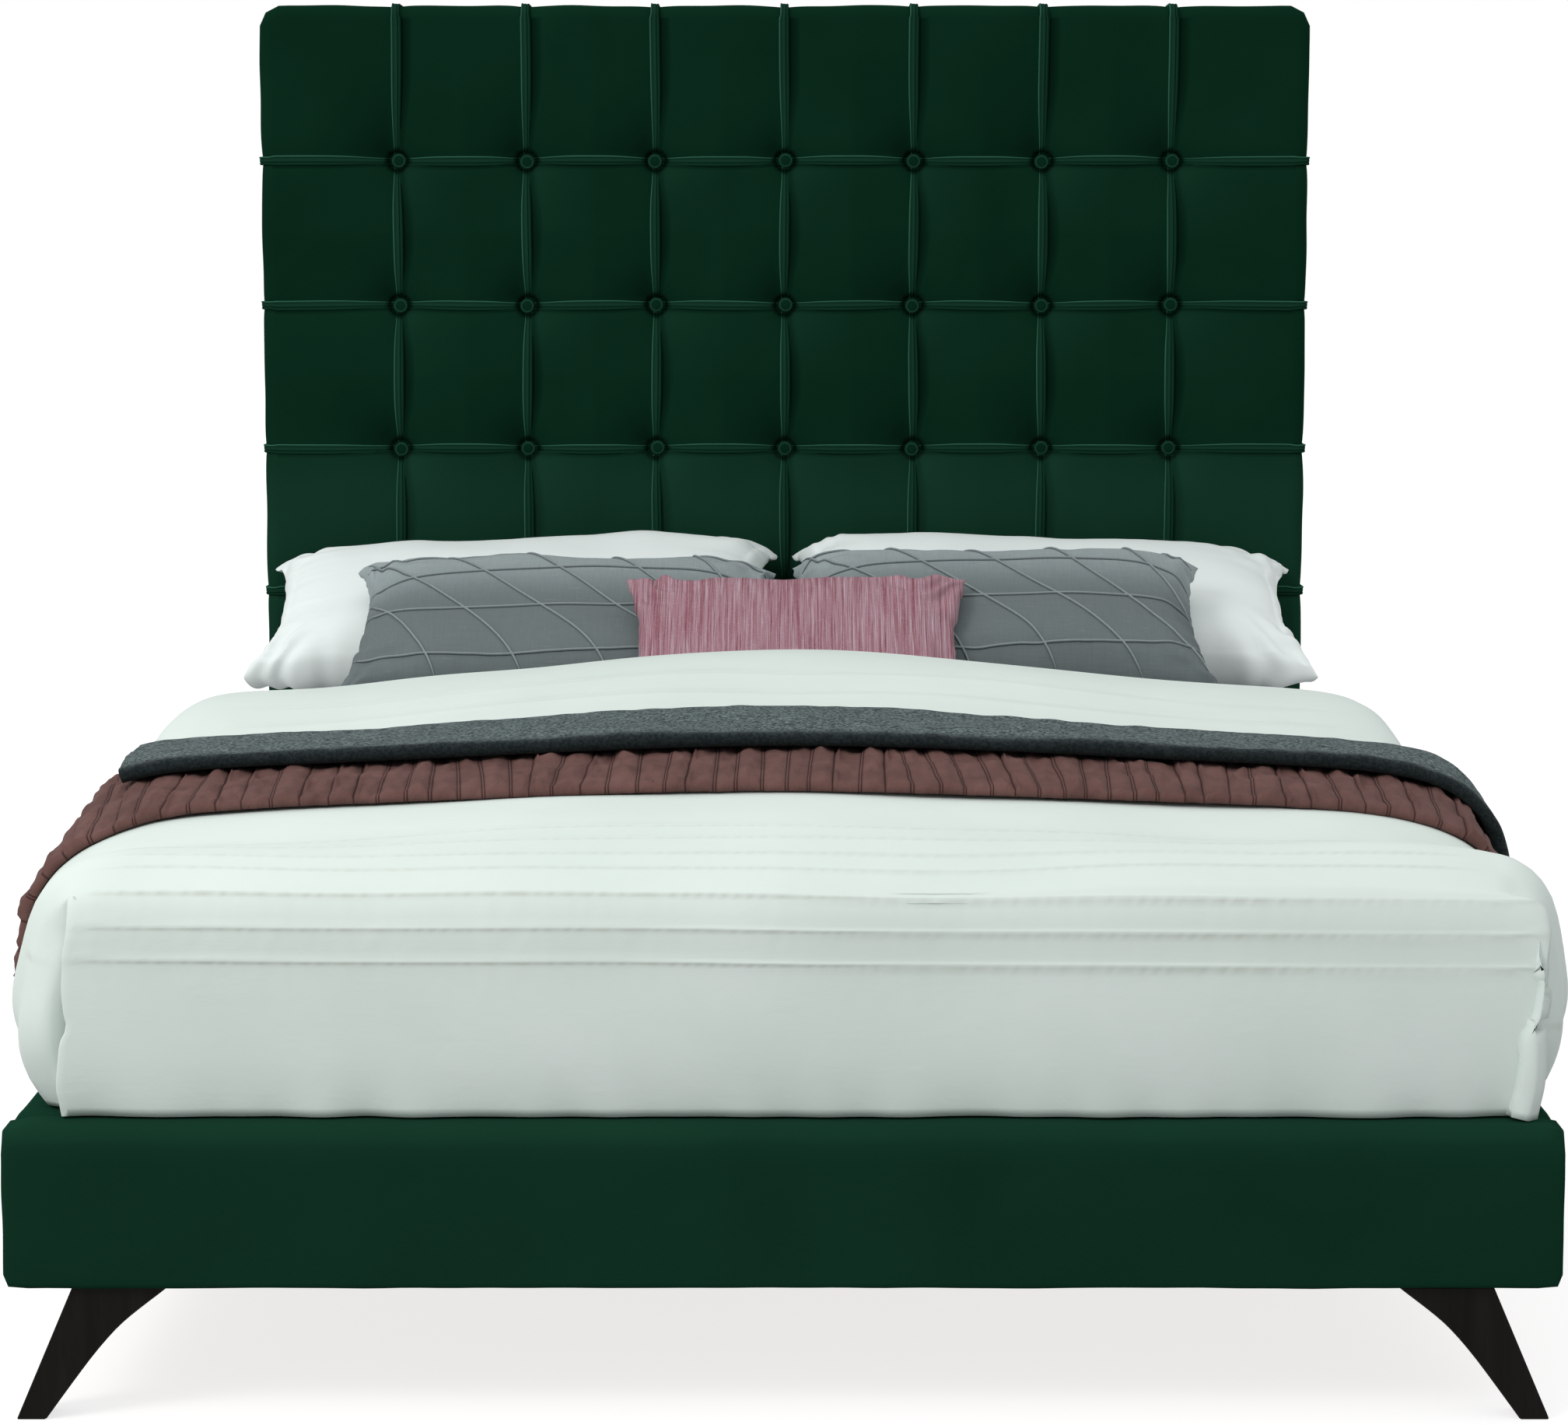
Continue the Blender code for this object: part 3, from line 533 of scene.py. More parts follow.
def wrapped_pad(across, up, face, back, edge, corner, depth, pinch, lip, place):
    """Points, faces and rim count of a padded board: a front, a rolled edge, sides, a back lip.

    across and up are the front's grid lines, inside the rolled edge, whose radius is given
    for the sides, the bottom and the top. depth gives how far behind the face a point of the
    front lies, and pinch how far the sides are pulled in.
    """
    a, b = np.meshgrid(across, up)
    centre = (up[0] + up[-1]) / 2.0
    half_a, half_b = across[-1], (up[-1] - up[0]) / 2.0
    reach_a = (np.abs(a) - (half_a - corner)) / corner
    reach_b = (np.abs(b - centre) - (half_b - corner)) / corner
    both = (reach_a > 0.0) & (reach_b > 0.0)
    ra, rb = np.clip(reach_a, 0.0, 1.0), np.clip(reach_b, 0.0, 1.0)
    new_a = half_a - corner + corner * ra * np.sqrt(1.0 - rb * rb / 2.0)
    new_b = half_b - corner + corner * rb * np.sqrt(1.0 - ra * ra / 2.0)
    a = np.where(both, np.copysign(new_a, a), a)
    b = np.where(both, centre + np.copysign(new_b, b - centre), b)
    sunk = depth(a, b)
    rows, columns = a.shape
    points = [np.stack([a.ravel(), b.ravel(), (face + sunk).ravel()], axis=1)]
    index = np.arange(rows * columns).reshape(rows, columns)
    rim = np.concatenate([index[0, :-1], index[:-1, -1], index[-1, :0:-1], index[:0:-1, 0]])
    flat_a, flat_b, flat_sunk = a.ravel()[rim], b.ravel()[rim], sunk.ravel()[rim]
    run_a = np.roll(flat_a, -1) - np.roll(flat_a, 1)
    run_b = np.roll(flat_b, -1) - np.roll(flat_b, 1)
    size = np.hypot(run_a, run_b)
    out_a, out_b = run_b / size, -run_a / size
    edge = edge[0] * out_a ** 2 + np.where(out_b > 0.0, edge[2], edge[1]) * out_b ** 2
    faces = grid_faces(rows, columns)
    tight = pinch(flat_a, flat_b)
    rings = []
    for step in (0.125, 0.25, 0.375, 0.5, 0.625, 0.75, 0.875, 1.0):
        turn = step * math.pi / 2.0
        rings.append((edge * math.sin(turn) - tight * step,
                      face + flat_sunk * math.cos(turn) + edge * (1.0 - math.cos(turn))))
    for step in (0.25, 0.5, 0.75, 0.97):
        rings.append((edge - tight * (1.0 - 0.8 * step), face + edge + (back - face - edge) * step))
    rings.append((edge - 0.003, back))
    rings.append((edge - lip, back))
    rings.append((edge - lip - 0.004, back - (back - face) * 0.45))
    start = rows * columns
    before = rim
    for out, deep in rings:
        deep = np.broadcast_to(deep, tight.shape)
        points.append(np.stack([flat_a + out_a * out, flat_b + out_b * out, deep], axis=1))
        now = np.arange(start, start + len(rim))
        for i in range(len(rim)):
            j = (i + 1) % len(rim)
            faces.append((before[j], before[i], now[i], now[j]))
        before, start = now, start + len(rim)
    faces.append(tuple(int(v) for v in before[::-1]))
    points = np.concatenate(points)
    return np.array([place(*p) for p in points]), faces, len(points)


def strip(name, path, side, lift, halves, profile, finish, marks):
    """A closed strip along a path: the profile lists (share of half width, height) pairs.

    Each mark is a list of values across the profile and one of values along the path.
    """
    path, side, lift = np.array(path), np.array(side), np.array(lift)
    halves = np.array(halves)
    rows = []
    for share, height in profile:
        rows.append(path + side * (halves * share)[:, None] + lift * height)
    points = np.stack(rows, axis=1).reshape(-1, 3)
    painted = {}
    for mark, (across, along) in marks.items():
        value = np.tile(np.array(across), len(path)) + np.repeat(along, len(profile))
        painted[mark] = np.clip(value, 0.0, 1.0)
    return face_out(piece(name, points, tube_faces(len(path), len(profile)), finish, painted))


print("wander at the origin", round(float(wander(0.0, 0.0, 0.1, 1)), 3))

# %% [markdown]
# A biscuit-tufted headboard is foam behind velvet that is sewn in squares. Buttons tied
# through the foam pull the corners of the squares deepest, and a flat double-stitched strip
# covers each seam between them. The pad is one fine grid, denser near the seams, whose
# depth is a formula. A voxel remesh would blur seams this narrow, so the shape is direct.

# %% Where the tufting lies
PITCH_X, PITCH_Z = 0.2045, 0.228
COLUMNS = [PITCH_X * k for k in (-3, -2, -1, 0, 1, 2, 3)]
ROWS = [1.366 - PITCH_Z * k for k in range(4)]
FIRM_TOP = ROWS[-1] - PITCH_Z
ROLL = 0.022                 # radius of the headboard's rolled edge
STRIP_HALF = 0.0082          # half width of a seam strip


def nearest(values, centres):
    """Signed distance from the nearest of the centres."""
    gaps = np.stack([values - c for c in centres])
    best = np.abs(gaps).argmin(axis=0)
    return np.take_along_axis(gaps, best[None], axis=0)[0]


def pull(distance, half):
    """1 at a button, 0 half way to the next one."""
    return 1.0 - smooth(np.abs(distance) / half)


def seam_shape(x, z):
    """How deep the pad lies behind its crests, and the shade painted into its creases."""
    x, z = np.asarray(x, float), np.asarray(z, float)
    drift_x = 0.0009 * np.sin(z * 17.0 + x * 5.0)
    drift_z = 0.0008 * np.sin(x * 15.0 + z * 7.0)
    dx, dz = nearest(x + drift_x, COLUMNS), nearest(z + drift_z, ROWS)
    tied_v = np.where(z > ROWS[0], pull(dz, 0.16), pull(dz, PITCH_Z / 2))
    tied_h = np.where(np.abs(x) > COLUMNS[-1], pull(dx, 0.15), pull(dx, PITCH_X / 2))
    near_v, near_h = np.exp(-np.abs(dx) / 0.020), np.exp(-np.abs(dz) / 0.017)
    trough_v = (0.0052 + 0.0085 * tied_v ** 2) * near_v
    trough_h = (0.0052 + 0.0085 * tied_h ** 2) * near_h
    reach = np.hypot(dx, dz)
    button = 0.0060 * np.exp(-(reach / 0.026) ** 2) + 0.0085 * np.exp(-reach / 0.045)
    # the cloth right of an upright seam and below a level seam is folded under
    open_v, open_h = 1.0 - tied_v ** 1.5, 1.0 - tied_h ** 1.5
    fold_v = (dx - STRIP_HALF + 0.002) / (0.0035 + 0.0165 * open_v)
    fold_h = (-dz - STRIP_HALF + 0.002) / (0.0030 + 0.0055 * open_h)
    gap_v = np.where((fold_v > 0.0) & (fold_v < 1.0), 1.0 - np.abs(fold_v) ** 3, 0.0)
    gap_h = np.where((fold_h > 0.0) & (fold_h < 1.0), 1.0 - np.abs(fold_h) ** 3, 0.0)
    gap_v *= 0.35 + 0.65 * open_v
    gap_h *= 0.55
    crown = 0.0030 * (1.0 - near_v) * (1.0 - near_h)
    soft = 0.0012 * wander(x, z, 0.16, 11)
    depth = np.hypot(trough_v, trough_h) + button + 0.0060 * gap_v + 0.0040 * gap_h + 0.001 - crown + soft
    firm = smooth((FIRM_TOP + 0.02 - z) / 0.02)
    # painted shade on a square's lower right corner, which faces away from the lamp
    closed = smooth(-dx / 0.02) * smooth(dz / 0.02) * np.exp(-reach / 0.065)
    # painted shade in the folded gaps, on the lower right corners and in the rings round the buttons
    shade = np.clip(0.50 * gap_v + 0.75 * gap_h + 0.60 * closed + button_ring_shade(reach), 0.0, 1.0)
    return depth * (1.0 - firm), shade * (1.0 - firm)


def button_ring_shade(reach):
    """Painted shade in the gap round a button."""
    return 0.97 * np.exp(-((reach - 0.0155) / 0.0036) ** 2)


def painted_pile_light(x, z):
    """Painted light on each square's upper left corner, which faces the lamp, and low down, where the white
    pillows light the pile.
    """
    dx, dz = nearest(x, COLUMNS), nearest(z, ROWS)
    corner = smooth(dx / 0.02) * smooth(-dz / 0.02) * np.exp(-np.hypot(dx, dz) / 0.050)
    return 0.10 * corner * (z > FIRM_TOP) + 0.095 * smooth((0.955 - z) / 0.12)


def pad_depth(x, z):
    return seam_shape(x, z)[0]


NEAR_SEAM = (-0.055, -0.038, -0.027, -0.019, -0.0135, -0.009, -0.005, 0.0, 0.004, 0.0065, 0.0085, 0.0105,
             0.0125, 0.0145, 0.0165, 0.0185, 0.0205, 0.0225, 0.025, 0.029, 0.036, 0.050)
print("buttons", len(COLUMNS) * len(ROWS))

# %% The headboard's upholstery
seam_x = spread_lines(COLUMNS, NEAR_SEAM, -HALF_BED + ROLL, HALF_BED - ROLL, 0.013)
seam_z = spread_lines(ROWS, [-o for o in NEAR_SEAM], LEG_TOP + ROLL, HEAD_TOP - ROLL, 0.015)


def side_pinch(a, b):
    """The sewn strips pull the sides in by a few millimetres."""
    level = np.exp(-np.abs(nearest(b, ROWS)) / 0.020) * (np.abs(a) > HALF_BED - ROLL - 0.02) * (b > 0.5)
    upright = np.exp(-np.abs(nearest(a, COLUMNS)) / 0.022) * (b > HEAD_TOP - ROLL - 0.002)
    return 0.0030 * level + 0.0035 * upright + 0.0008 * wander(a, b, 0.12, 5)


points, faces, count = wrapped_pad(seam_x, seam_z, HEAD_FACE, HEAD_BACK - 0.0002, (ROLL, ROLL, ROLL),
                                   0.014, pad_depth, side_pinch, 0.0205, lambda a, b, c: (a, c, b))
# painted shade in the creases, and painted light on the pile
dark = np.zeros(count)
front = len(seam_x) * len(seam_z)
dark[:front] = seam_shape(points[:front, 0], points[:front, 2])[1]
pile_light = painted_pile_light(points[:, 0], points[:, 2])
headboard = face_out(piece("headboard_upholstery", points, faces, VELVET, {"crease": dark, "painted_light": pile_light}))
belongs(headboard, "frame", "headboard_pad")
print("headboard points", count)

# %% [markdown]
# The seam strips are folds of the same velvet with a row of stitches down the middle. Each
# is a narrow ribbon with two rounded ribs. It follows the pad down into every button, is
# narrowest there, and runs on over the headboard's edge. Its leading rib has painted light,
# and its edges and its stitched groove have painted shade.

# %% Seam strips
RIBS = [(-1.0, -0.003), (-1.03, 0.0010), (-0.95, 0.0034), (-0.80, 0.0039), (-0.62, 0.0030), (-0.45, 0.0026),
        (-0.20, 0.0028), (0.12, 0.0028), (0.30, 0.0021), (0.38, 0.0021), (0.52, 0.0028), (0.85, 0.0026),
        (1.0, 0.0010), (0.98, -0.003)]
# painted light on the leading rib, and painted shade under the edges and in the stitched groove
RIB_LIGHT = [0.0, 0.30, 0.85, 0.42, 0.06, 0.06, 0.12, 0.12, 0.0, 0.0, 0.08, 0.03, 0.0, 0.0]
STRIP_SHADE = [0.8, 0.2, 0.0, 0.0, 0.10, 0.10, 0.0, 0.0, 0.5, 0.5, 0.0, 0.1, 0.6, 1.0]


def over_edge(end):
    """Stations of a strip over the rolled edge at an end: place, depth, and the way it faces."""
    stations = []
    for turn in (0.2, 0.4, 0.6, 0.8, 1.0):
        angle = turn * math.pi / 2.0
        depth = HEAD_FACE + 0.004 * math.cos(angle) + ROLL * (1.0 - math.cos(angle))
        stations.append((end - ROLL + ROLL * math.sin(angle), depth, math.sin(angle), -math.cos(angle)))
    stations.append((end - 0.001, HEAD_BACK - 0.012, 1.0, 0.0))
    return stations


def seam_strip(name, fixed, is_row, node=None):
    """One strip across (a row) or up (a column) the headboard."""
    end = HALF_BED if is_row else HEAD_TOP
    rolled = over_edge(end)
    run = np.arange(-(end - ROLL) if is_row else FIRM_TOP + 0.01, end - ROLL, 0.004)
    if is_row:
        middle = fixed - 0.0008 * np.sin(run * 15.0 + fixed * 7.0)
        deep = HEAD_FACE + pad_depth(run, np.full_like(run, fixed))
        tied = np.where(np.abs(run) > COLUMNS[-1], pull(nearest(run, COLUMNS), 0.15),
                        pull(nearest(run, COLUMNS), PITCH_X / 2))
    else:
        middle = fixed - 0.0009 * np.sin(run * 17.0 + fixed * 5.0)
        deep = HEAD_FACE + pad_depth(np.full_like(run, fixed), run)
        tied = np.where(run > ROWS[0], pull(nearest(run, ROWS), 0.16), pull(nearest(run, ROWS), PITCH_Z / 2))
    halves = STRIP_HALF * (1.0 - 0.42 * tied ** 2)
    path, side, lift, wide = [], [], [], []

    def add(along, cross, depth, up_along, up_depth, half):
        path.append((along, depth, cross) if is_row else (cross, depth, along))
        side.append((0.0, 0.0, -1.0) if is_row else (1.0, 0.0, 0.0))
        lift.append((up_along, up_depth, 0.0) if is_row else (0.0, up_depth, up_along))
        wide.append(half)

    if is_row:
        for along, depth, up_along, up_depth in reversed(rolled):
            add(-along, fixed, depth, -up_along, up_depth, STRIP_HALF * 0.8)
    for along, cross, depth, half in zip(run, middle, deep, halves):
        add(along, cross, depth, 0.0, -1.0, half)
    for along, depth, up_along, up_depth in rolled:
        add(along, fixed, depth, up_along, up_depth, STRIP_HALF * 0.8)
    places = np.array(path)
    reach = np.hypot(nearest(places[:, 0], COLUMNS), nearest(places[:, 2], ROWS))
    # the rib's painted light fades near a button, where painted shade rings it
    obj = strip(name, path, side, lift, wide, RIBS, VELVET,
                {"painted_light": (RIB_LIGHT, -button_ring_shade(reach)), "crease": (STRIP_SHADE, button_ring_shade(reach))})
    return belongs(obj, "frame", node)


for number, x in enumerate(COLUMNS, 1):
    seam_strip("seam_strip_column_%d" % number, x, False)
for number, z in enumerate(ROWS, 1):
    seam_strip("seam_strip_row_%d" % number, z, True, "tuft_row_%d" % number)
print("seam strips", len(COLUMNS) + len(ROWS))

# %% [markdown]
# Each button is a metal shell covered in the velvet: a low dome with a tight rim that sits
# down in its dimple. A dome is a profile turned about one axis, with faint pleats at the
# rim where the cloth is gathered behind it.


# %% Covered buttons
# (radius, height, crease mark of painted shade, painted light mark) from the middle of the dome to its underside
BUTTON = ((0.0, 0.0066, 0.1, 0.0), (0.004, 0.0064, 0.1, 0.0), (0.0072, 0.0056, 0.1, 0.0),
          (0.0084, 0.0049, 0.1, 0.22), (0.0090, 0.0046, 0.1, 0.22), (0.0098, 0.0047, 0.1, 0.22),
          (0.0110, 0.0039, 0.1, 0.0), (0.0124, 0.0021, 0.1, 0.0), (0.0128, 0.0, 0.9, 0.0),
          (0.0122, -0.002, 0.9, 0.0), (0.0100, -0.0036, 0.9, 0.0), (0.0, -0.0038, 0.9, 0.0))
BUTTON_TURNS = 36


def covered_button(x, z, seed):
    """Points and faces of one domed button."""
    base = HEAD_FACE + float(pad_depth(np.array([x]), np.array([z]))[0]) - 0.0062
    ring = []
    for radius, height, _, _ in BUTTON:
        for k in range(BUTTON_TURNS):
            angle = 2.0 * math.pi * k / BUTTON_TURNS
            pleat = 1.0 + 0.012 * math.sin(11 * angle + seed) * (radius > 0.010)
            ring.append((x + radius * pleat * math.cos(angle), base - height,
                         z + radius * pleat * math.sin(angle)))
    return ring, grid_faces(len(BUTTON), BUTTON_TURNS, ring=True)


# painted shade over the dome and darkest at its rim, and painted light on a ring of the dome
button_marks = np.tile(np.repeat(np.array(BUTTON)[:, 2:], BUTTON_TURNS, axis=0), (len(COLUMNS), 1))
for number, z in enumerate(ROWS, 1):
    row_points, row_faces = merge(
        covered_button(x + 0.0016 * math.sin(column * 2.1 + number),
                       z + 0.0012 * math.cos(column * 1.7 + number), column)
        for column, x in enumerate(COLUMNS))
    buttons = piece("covered_buttons_row_%d" % number, row_points, row_faces, VELVET,
                    {"crease": button_marks[:, 0], "painted_light": button_marks[:, 1]})
    buttons.data.validate()
    face_out(buttons)
    belongs(buttons, "frame", "tuft_row_%d" % number)
print("button rows", len(ROWS))

# %% [markdown]
# The footboard and the side rails are boards wrapped in thin foam and plain velvet. They
# look flat, but foam has no hard edge: the faces crown by a millimetre or two, the long
# edges roll over softly, and the cloth is a little uneven where it is stapled underneath.


# %% Footboard and rails
def plain_depth(low, high, seed):
    """A nearly flat padded face: a slight crown and a slight unevenness."""
    def depth(a, b):
        rise = 1.0 - ((2.0 * b - low - high) / (high - low)) ** 2
        return 0.0015 * (1.0 - rise) + 0.0005 * wander(a, b, 0.11, seed) + 0.0007
    return depth


def padded_rail(name, node, half, place, roll, corner, seed):
    """A wrapped board in the space of a CAD cover."""
    low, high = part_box(node)
    across = spread_lines((), (), -half + roll[0], half - roll[0], 0.02)
    up = spread_lines((), (), low.z + roll[1], high.z - roll[2], 0.009)
    thick = min(high.x - low.x, high.y - low.y)
    made, quads, _ = wrapped_pad(across, up, 0.0, thick, roll, corner, plain_depth(low.z, high.z, seed),
                                 lambda a, b: 0.0005 * wander(a, b, 0.09, seed + 1) + 0.0005,
                                 thick * 0.3, place)
    # paler pile overall, and painted light along the top, which faces up
    rail_pale_and_lit = 0.052 + 0.030 * smooth((made[:, 2] - high.z + 0.045) / 0.03)
    obj = face_out(piece(name, made, quads, VELVET, {"painted_light": rail_pale_and_lit}))
    belongs(obj, "frame", node)


padded_rail("footboard_upholstery", "footboard_cover", HALF_BED, lambda a, b, c: (a, FOOT_FACE + c, b),
            (0.007, 0.007, 0.021), 0.004, 21)
for side, label in ((-1.0, "left"), (1.0, "right")):
    low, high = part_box("side_rail_%s_cover" % label)
    middle, half = (low.y + high.y) / 2.0, (high.y - low.y) / 2.0
    padded_rail("side_rail_%s_upholstery" % label, "side_rail_%s_cover" % label, half,
                lambda a, b, c, s=side, m=middle: (s * (HALF_BED - c), m - s * a, b),
                (0.006, 0.007, 0.012), 0.004, 31)
print("padded boards", 3)

# %% [markdown]
# The wooden and metal parts have the right shape already, so they keep the CAD mesh and
# only get a finish. Grain follows the length of each board.

# %% Finishes on the CAD parts
def dress(finish, *nodes):
    """Give CAD nodes a finish in every material slot."""
    for node in nodes:
        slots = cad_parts[node].material_slots
        for slot in slots:
            slot.material = finish
        if not slots:
            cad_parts[node].data.materials.append(finish)


dress(ESPRESSO, "front_leg_left", "front_leg_right", "rear_leg_left", "rear_leg_right")
dress(PINE["x"], *["slat_%d" % n for n in range(1, 13)], "headboard_cross_rail_top",
      "headboard_cross_rail_middle", "headboard_cross_rail_bottom")
dress(PINE["y"], "centre_beam", "slat_ledge_left", "slat_ledge_right")
dress(PINE["z"], "centre_leg_1", "centre_leg_2", "centre_leg_3",
      "headboard_post_left", "headboard_post_right")
dress(PLY["y"], "headboard_panel", "footboard_core")
dress(PLY["x"], "side_rail_left_core", "side_rail_right_core")
dress(ZINC, "beam_hanger_foot", "beam_hanger_head", "corner_bracket_foot_left", "corner_bracket_foot_right",
      "corner_bracket_head_left", "corner_bracket_head_right")
dress(NYLON, "levelling_glide_1", "levelling_glide_2", "levelling_glide_3")
print("CAD nodes", len(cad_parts))

# %% [markdown]
# The duvet is a thick quilt that is pulled tight over the mattress and tucked behind the
# rails. Its cross-section is a superellipse on top of two bulging sides, as in the CAD
# model, and these functions repeat that outline so that every cloth above it can follow.

# %% The duvet's outline
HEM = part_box("duvet")[0].z
DUVET_FOOT, DUVET_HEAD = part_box("duvet")[0].y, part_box("duvet")[1].y
BULGE = 0.42
SHEET_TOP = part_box("fitted_sheet")[1].z


def crown(y):
    """Height of the duvet along the middle of the bed."""
    rise = 0.048 * (1.0 - np.exp((DUVET_FOOT - y) / 0.2))
    return 0.578 + rise + 0.058 * smooth((y + 0.24) / 0.36)


# half widths of the foot's section at rising heights, on the left and on the right
FOOT_LEFT = ((0.3225, 0.806), (0.340, 0.826), (0.374, 0.837), (0.405, 0.840), (0.445, 0.837), (0.480, 0.829),
             (0.508, 0.818), (0.532, 0.802), (0.550, 0.782), (0.561, 0.762), (0.5665, 0.73), (0.568, 0.60),
             (0.568, 0.0))
FOOT_RIGHT = ((0.3225, 0.815), (0.340, 0.833), (0.371, 0.843), (0.401, 0.851), (0.439, 0.857), (0.471, 0.857),
              (0.504, 0.851), (0.526, 0.842), (0.546, 0.828), (0.558, 0.814), (0.5650, 0.790), (0.568, 0.74),
              (0.568, 0.0))


def half_width(y, side):
    """Widest half width of the duvet at one station."""
    near, far = (0.838, 0.8574) if side < 0 else (0.857, 0.840)
    return near + (far - near) * smooth((y + 0.95) / 0.2) - 0.012 * smooth((y + 0.05) / 0.27)


def evenly(x, z, steps):
    """The same line with evenly spaced points."""
    run = np.concatenate([[0.0], np.cumsum(np.hypot(np.diff(x), np.diff(z)))])
    even = np.linspace(0.0, run[-1], steps)
    return np.interp(even, run, x), np.interp(even, run, z)


def half_outline(y, side, top, width, steps):
    """Evenly spaced points from the hem to the crown on one side."""
    hem = min(width, 0.806)
    square = smooth((y + 0.80) / 0.55)
    share = np.arange(0.0, 1.0, 0.025)
    angle = math.pi / 2.0 * (np.linspace(0.0, 1.0, 400) ** 2)
    x, z = evenly(np.concatenate([hem + (width - hem) * np.sin(math.pi / 2.0 * share),
                                  width * np.maximum(np.cos(angle), 0.0) ** (0.25 - 0.125 * square)]),
                  np.concatenate([HEM + (BULGE - HEM) * share,
                                  BULGE + (top - BULGE) * np.sin(angle) ** (0.667 - 0.267 * square)]),
                  steps)
    # the top arches over the whole width, most of all towards the pillows
    arch = 0.018 + 0.034 * smooth((y + 0.75) / 0.85)
    z = z - arch * smooth(x / 0.76) * np.clip((z - BULGE) / (top - BULGE), 0.0, 1.0) ** 2
    foot = 1.0 - smooth((y + 0.97) / 0.13)
    if foot > 0.0:
        heights, halves = np.array(FOOT_LEFT if side < 0 else FOOT_RIGHT).T
        fx, fz = evenly(halves, heights, 60)
        for _ in range(3):
            fx[1:-1] = (fx[:-2] + 2.0 * fx[1:-1] + fx[2:]) / 4.0
            fz[1:-1] = (fz[:-2] + 2.0 * fz[1:-1] + fz[2:]) / 4.0
        # the flap rounds inwards towards the crease
        turn = min(max((-0.945 - y) / 0.083, 0.0), 1.0)
        inset = 0.040 * (1.0 - math.sqrt(1.0 - turn * turn))
        fx = fx - inset * smooth((0.562 - fz) / 0.06) * smooth((fx - 0.70) / 0.05)
        fx, fz = evenly(fx, HEM + (fz - HEM) * (top - HEM) / (0.568 - HEM), steps)
        x, z = x + (fx - x) * foot, z + (fz - z) * foot
    return side * x, z


def outline(y, steps, top=None):
    """The whole section at one station, from the left hem to the right hem."""
    top = float(crown(y)) if top is None else top
    left = half_outline(y, -1.0, top, float(half_width(y, -1.0)), steps)
    right = half_outline(y, 1.0, top, float(half_width(y, 1.0)), steps)
    return np.concatenate([left[0], right[0][-2::-1]]), np.concatenate([left[1], right[1][-2::-1]])


def outward(x, z):
    """Unit normals of a section that runs from left to right."""
    along_x, along_z = np.gradient(x), np.gradient(z)
    size = np.hypot(along_x, along_z)
    return -along_z / size, along_x / size


print("crown at the foot", round(float(crown(DUVET_FOOT)), 3))

# %% [markdown]
# The mattress sits inside the bed and the fitted sheet caps it. The mattress is a quilted
# block with a taped edge round its top and bottom. The sheet is thin cloth drawn tight by
# elastic: smooth on top, with short gathers at the corners where it turns under.

# %% Mattress and fitted sheet
def rounded_loop(half_x, low_y, high_y, radius, count):
    """Points round a rectangle with rounded corners, anticlockwise, evenly spaced."""
    corners = ((half_x - radius, high_y - radius, 0.0), (-half_x + radius, high_y - radius, 90.0),
               (-half_x + radius, low_y + radius, 180.0), (half_x - radius, low_y + radius, 270.0))
    dense = []
    for x, y, start in corners:
        for k in range(13):
            angle = math.radians(start + 7.5 * k)
            dense.append((x + radius * math.cos(angle), y + radius * math.sin(angle)))
    dense.append(dense[0])
    dense = np.array(dense)
    run = np.concatenate([[0.0], np.cumsum(np.hypot(*np.diff(dense, axis=0).T))])
    even = np.linspace(0.0, run[-1], count, endpoint=False)
    return np.stack([np.interp(even, run, dense[:, 0]), np.interp(even, run, dense[:, 1])], axis=1), even


def mattress_body():
    """A closed body from loops of equal count at rising levels."""
    low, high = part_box("mattress")
    count = 360
    levels, tape = [], []
    profile = [(0.30, 0.0), (0.06, 0.0), (0.022, 0.001), (0.006, 0.007), (-0.001, 0.014), (0.001, 0.020),
               (0.004, 0.024)]
    side = [(0.0015 + 0.003 * math.cos(k * math.pi / 6.0) ** 2, 0.03 + 0.255 * k / 12.0) for k in range(13)]
    top = [(inset, high.z - low.z - rise) for inset, rise in profile[::-1]]
    for inset, rise in profile + side + top:
        shape, run = rounded_loop(high.x - inset, low.y + inset, high.y - inset, max(0.075 - inset, 0.02), count)
        quilted = 0.0009 * np.sin(run * 2.0 * math.pi / 0.09) * (0.04 < rise < 0.27)
        levels.append(np.column_stack([shape * (1.0 - quilted)[:, None], np.full(count, low.z + rise)]))
        tape.append(np.full(count, 1.0 if 0.010 < rise < 0.022 or 0.293 < rise < 0.305 else 0.0))
    faces = tube_faces(len(levels), count)
    return face_out(piece("mattress_body", np.concatenate(levels), faces, TICKING,
                          {"stitch_and_shade": np.concatenate(tape)}))


belongs(mattress_body(), "made_mattress", "mattress")


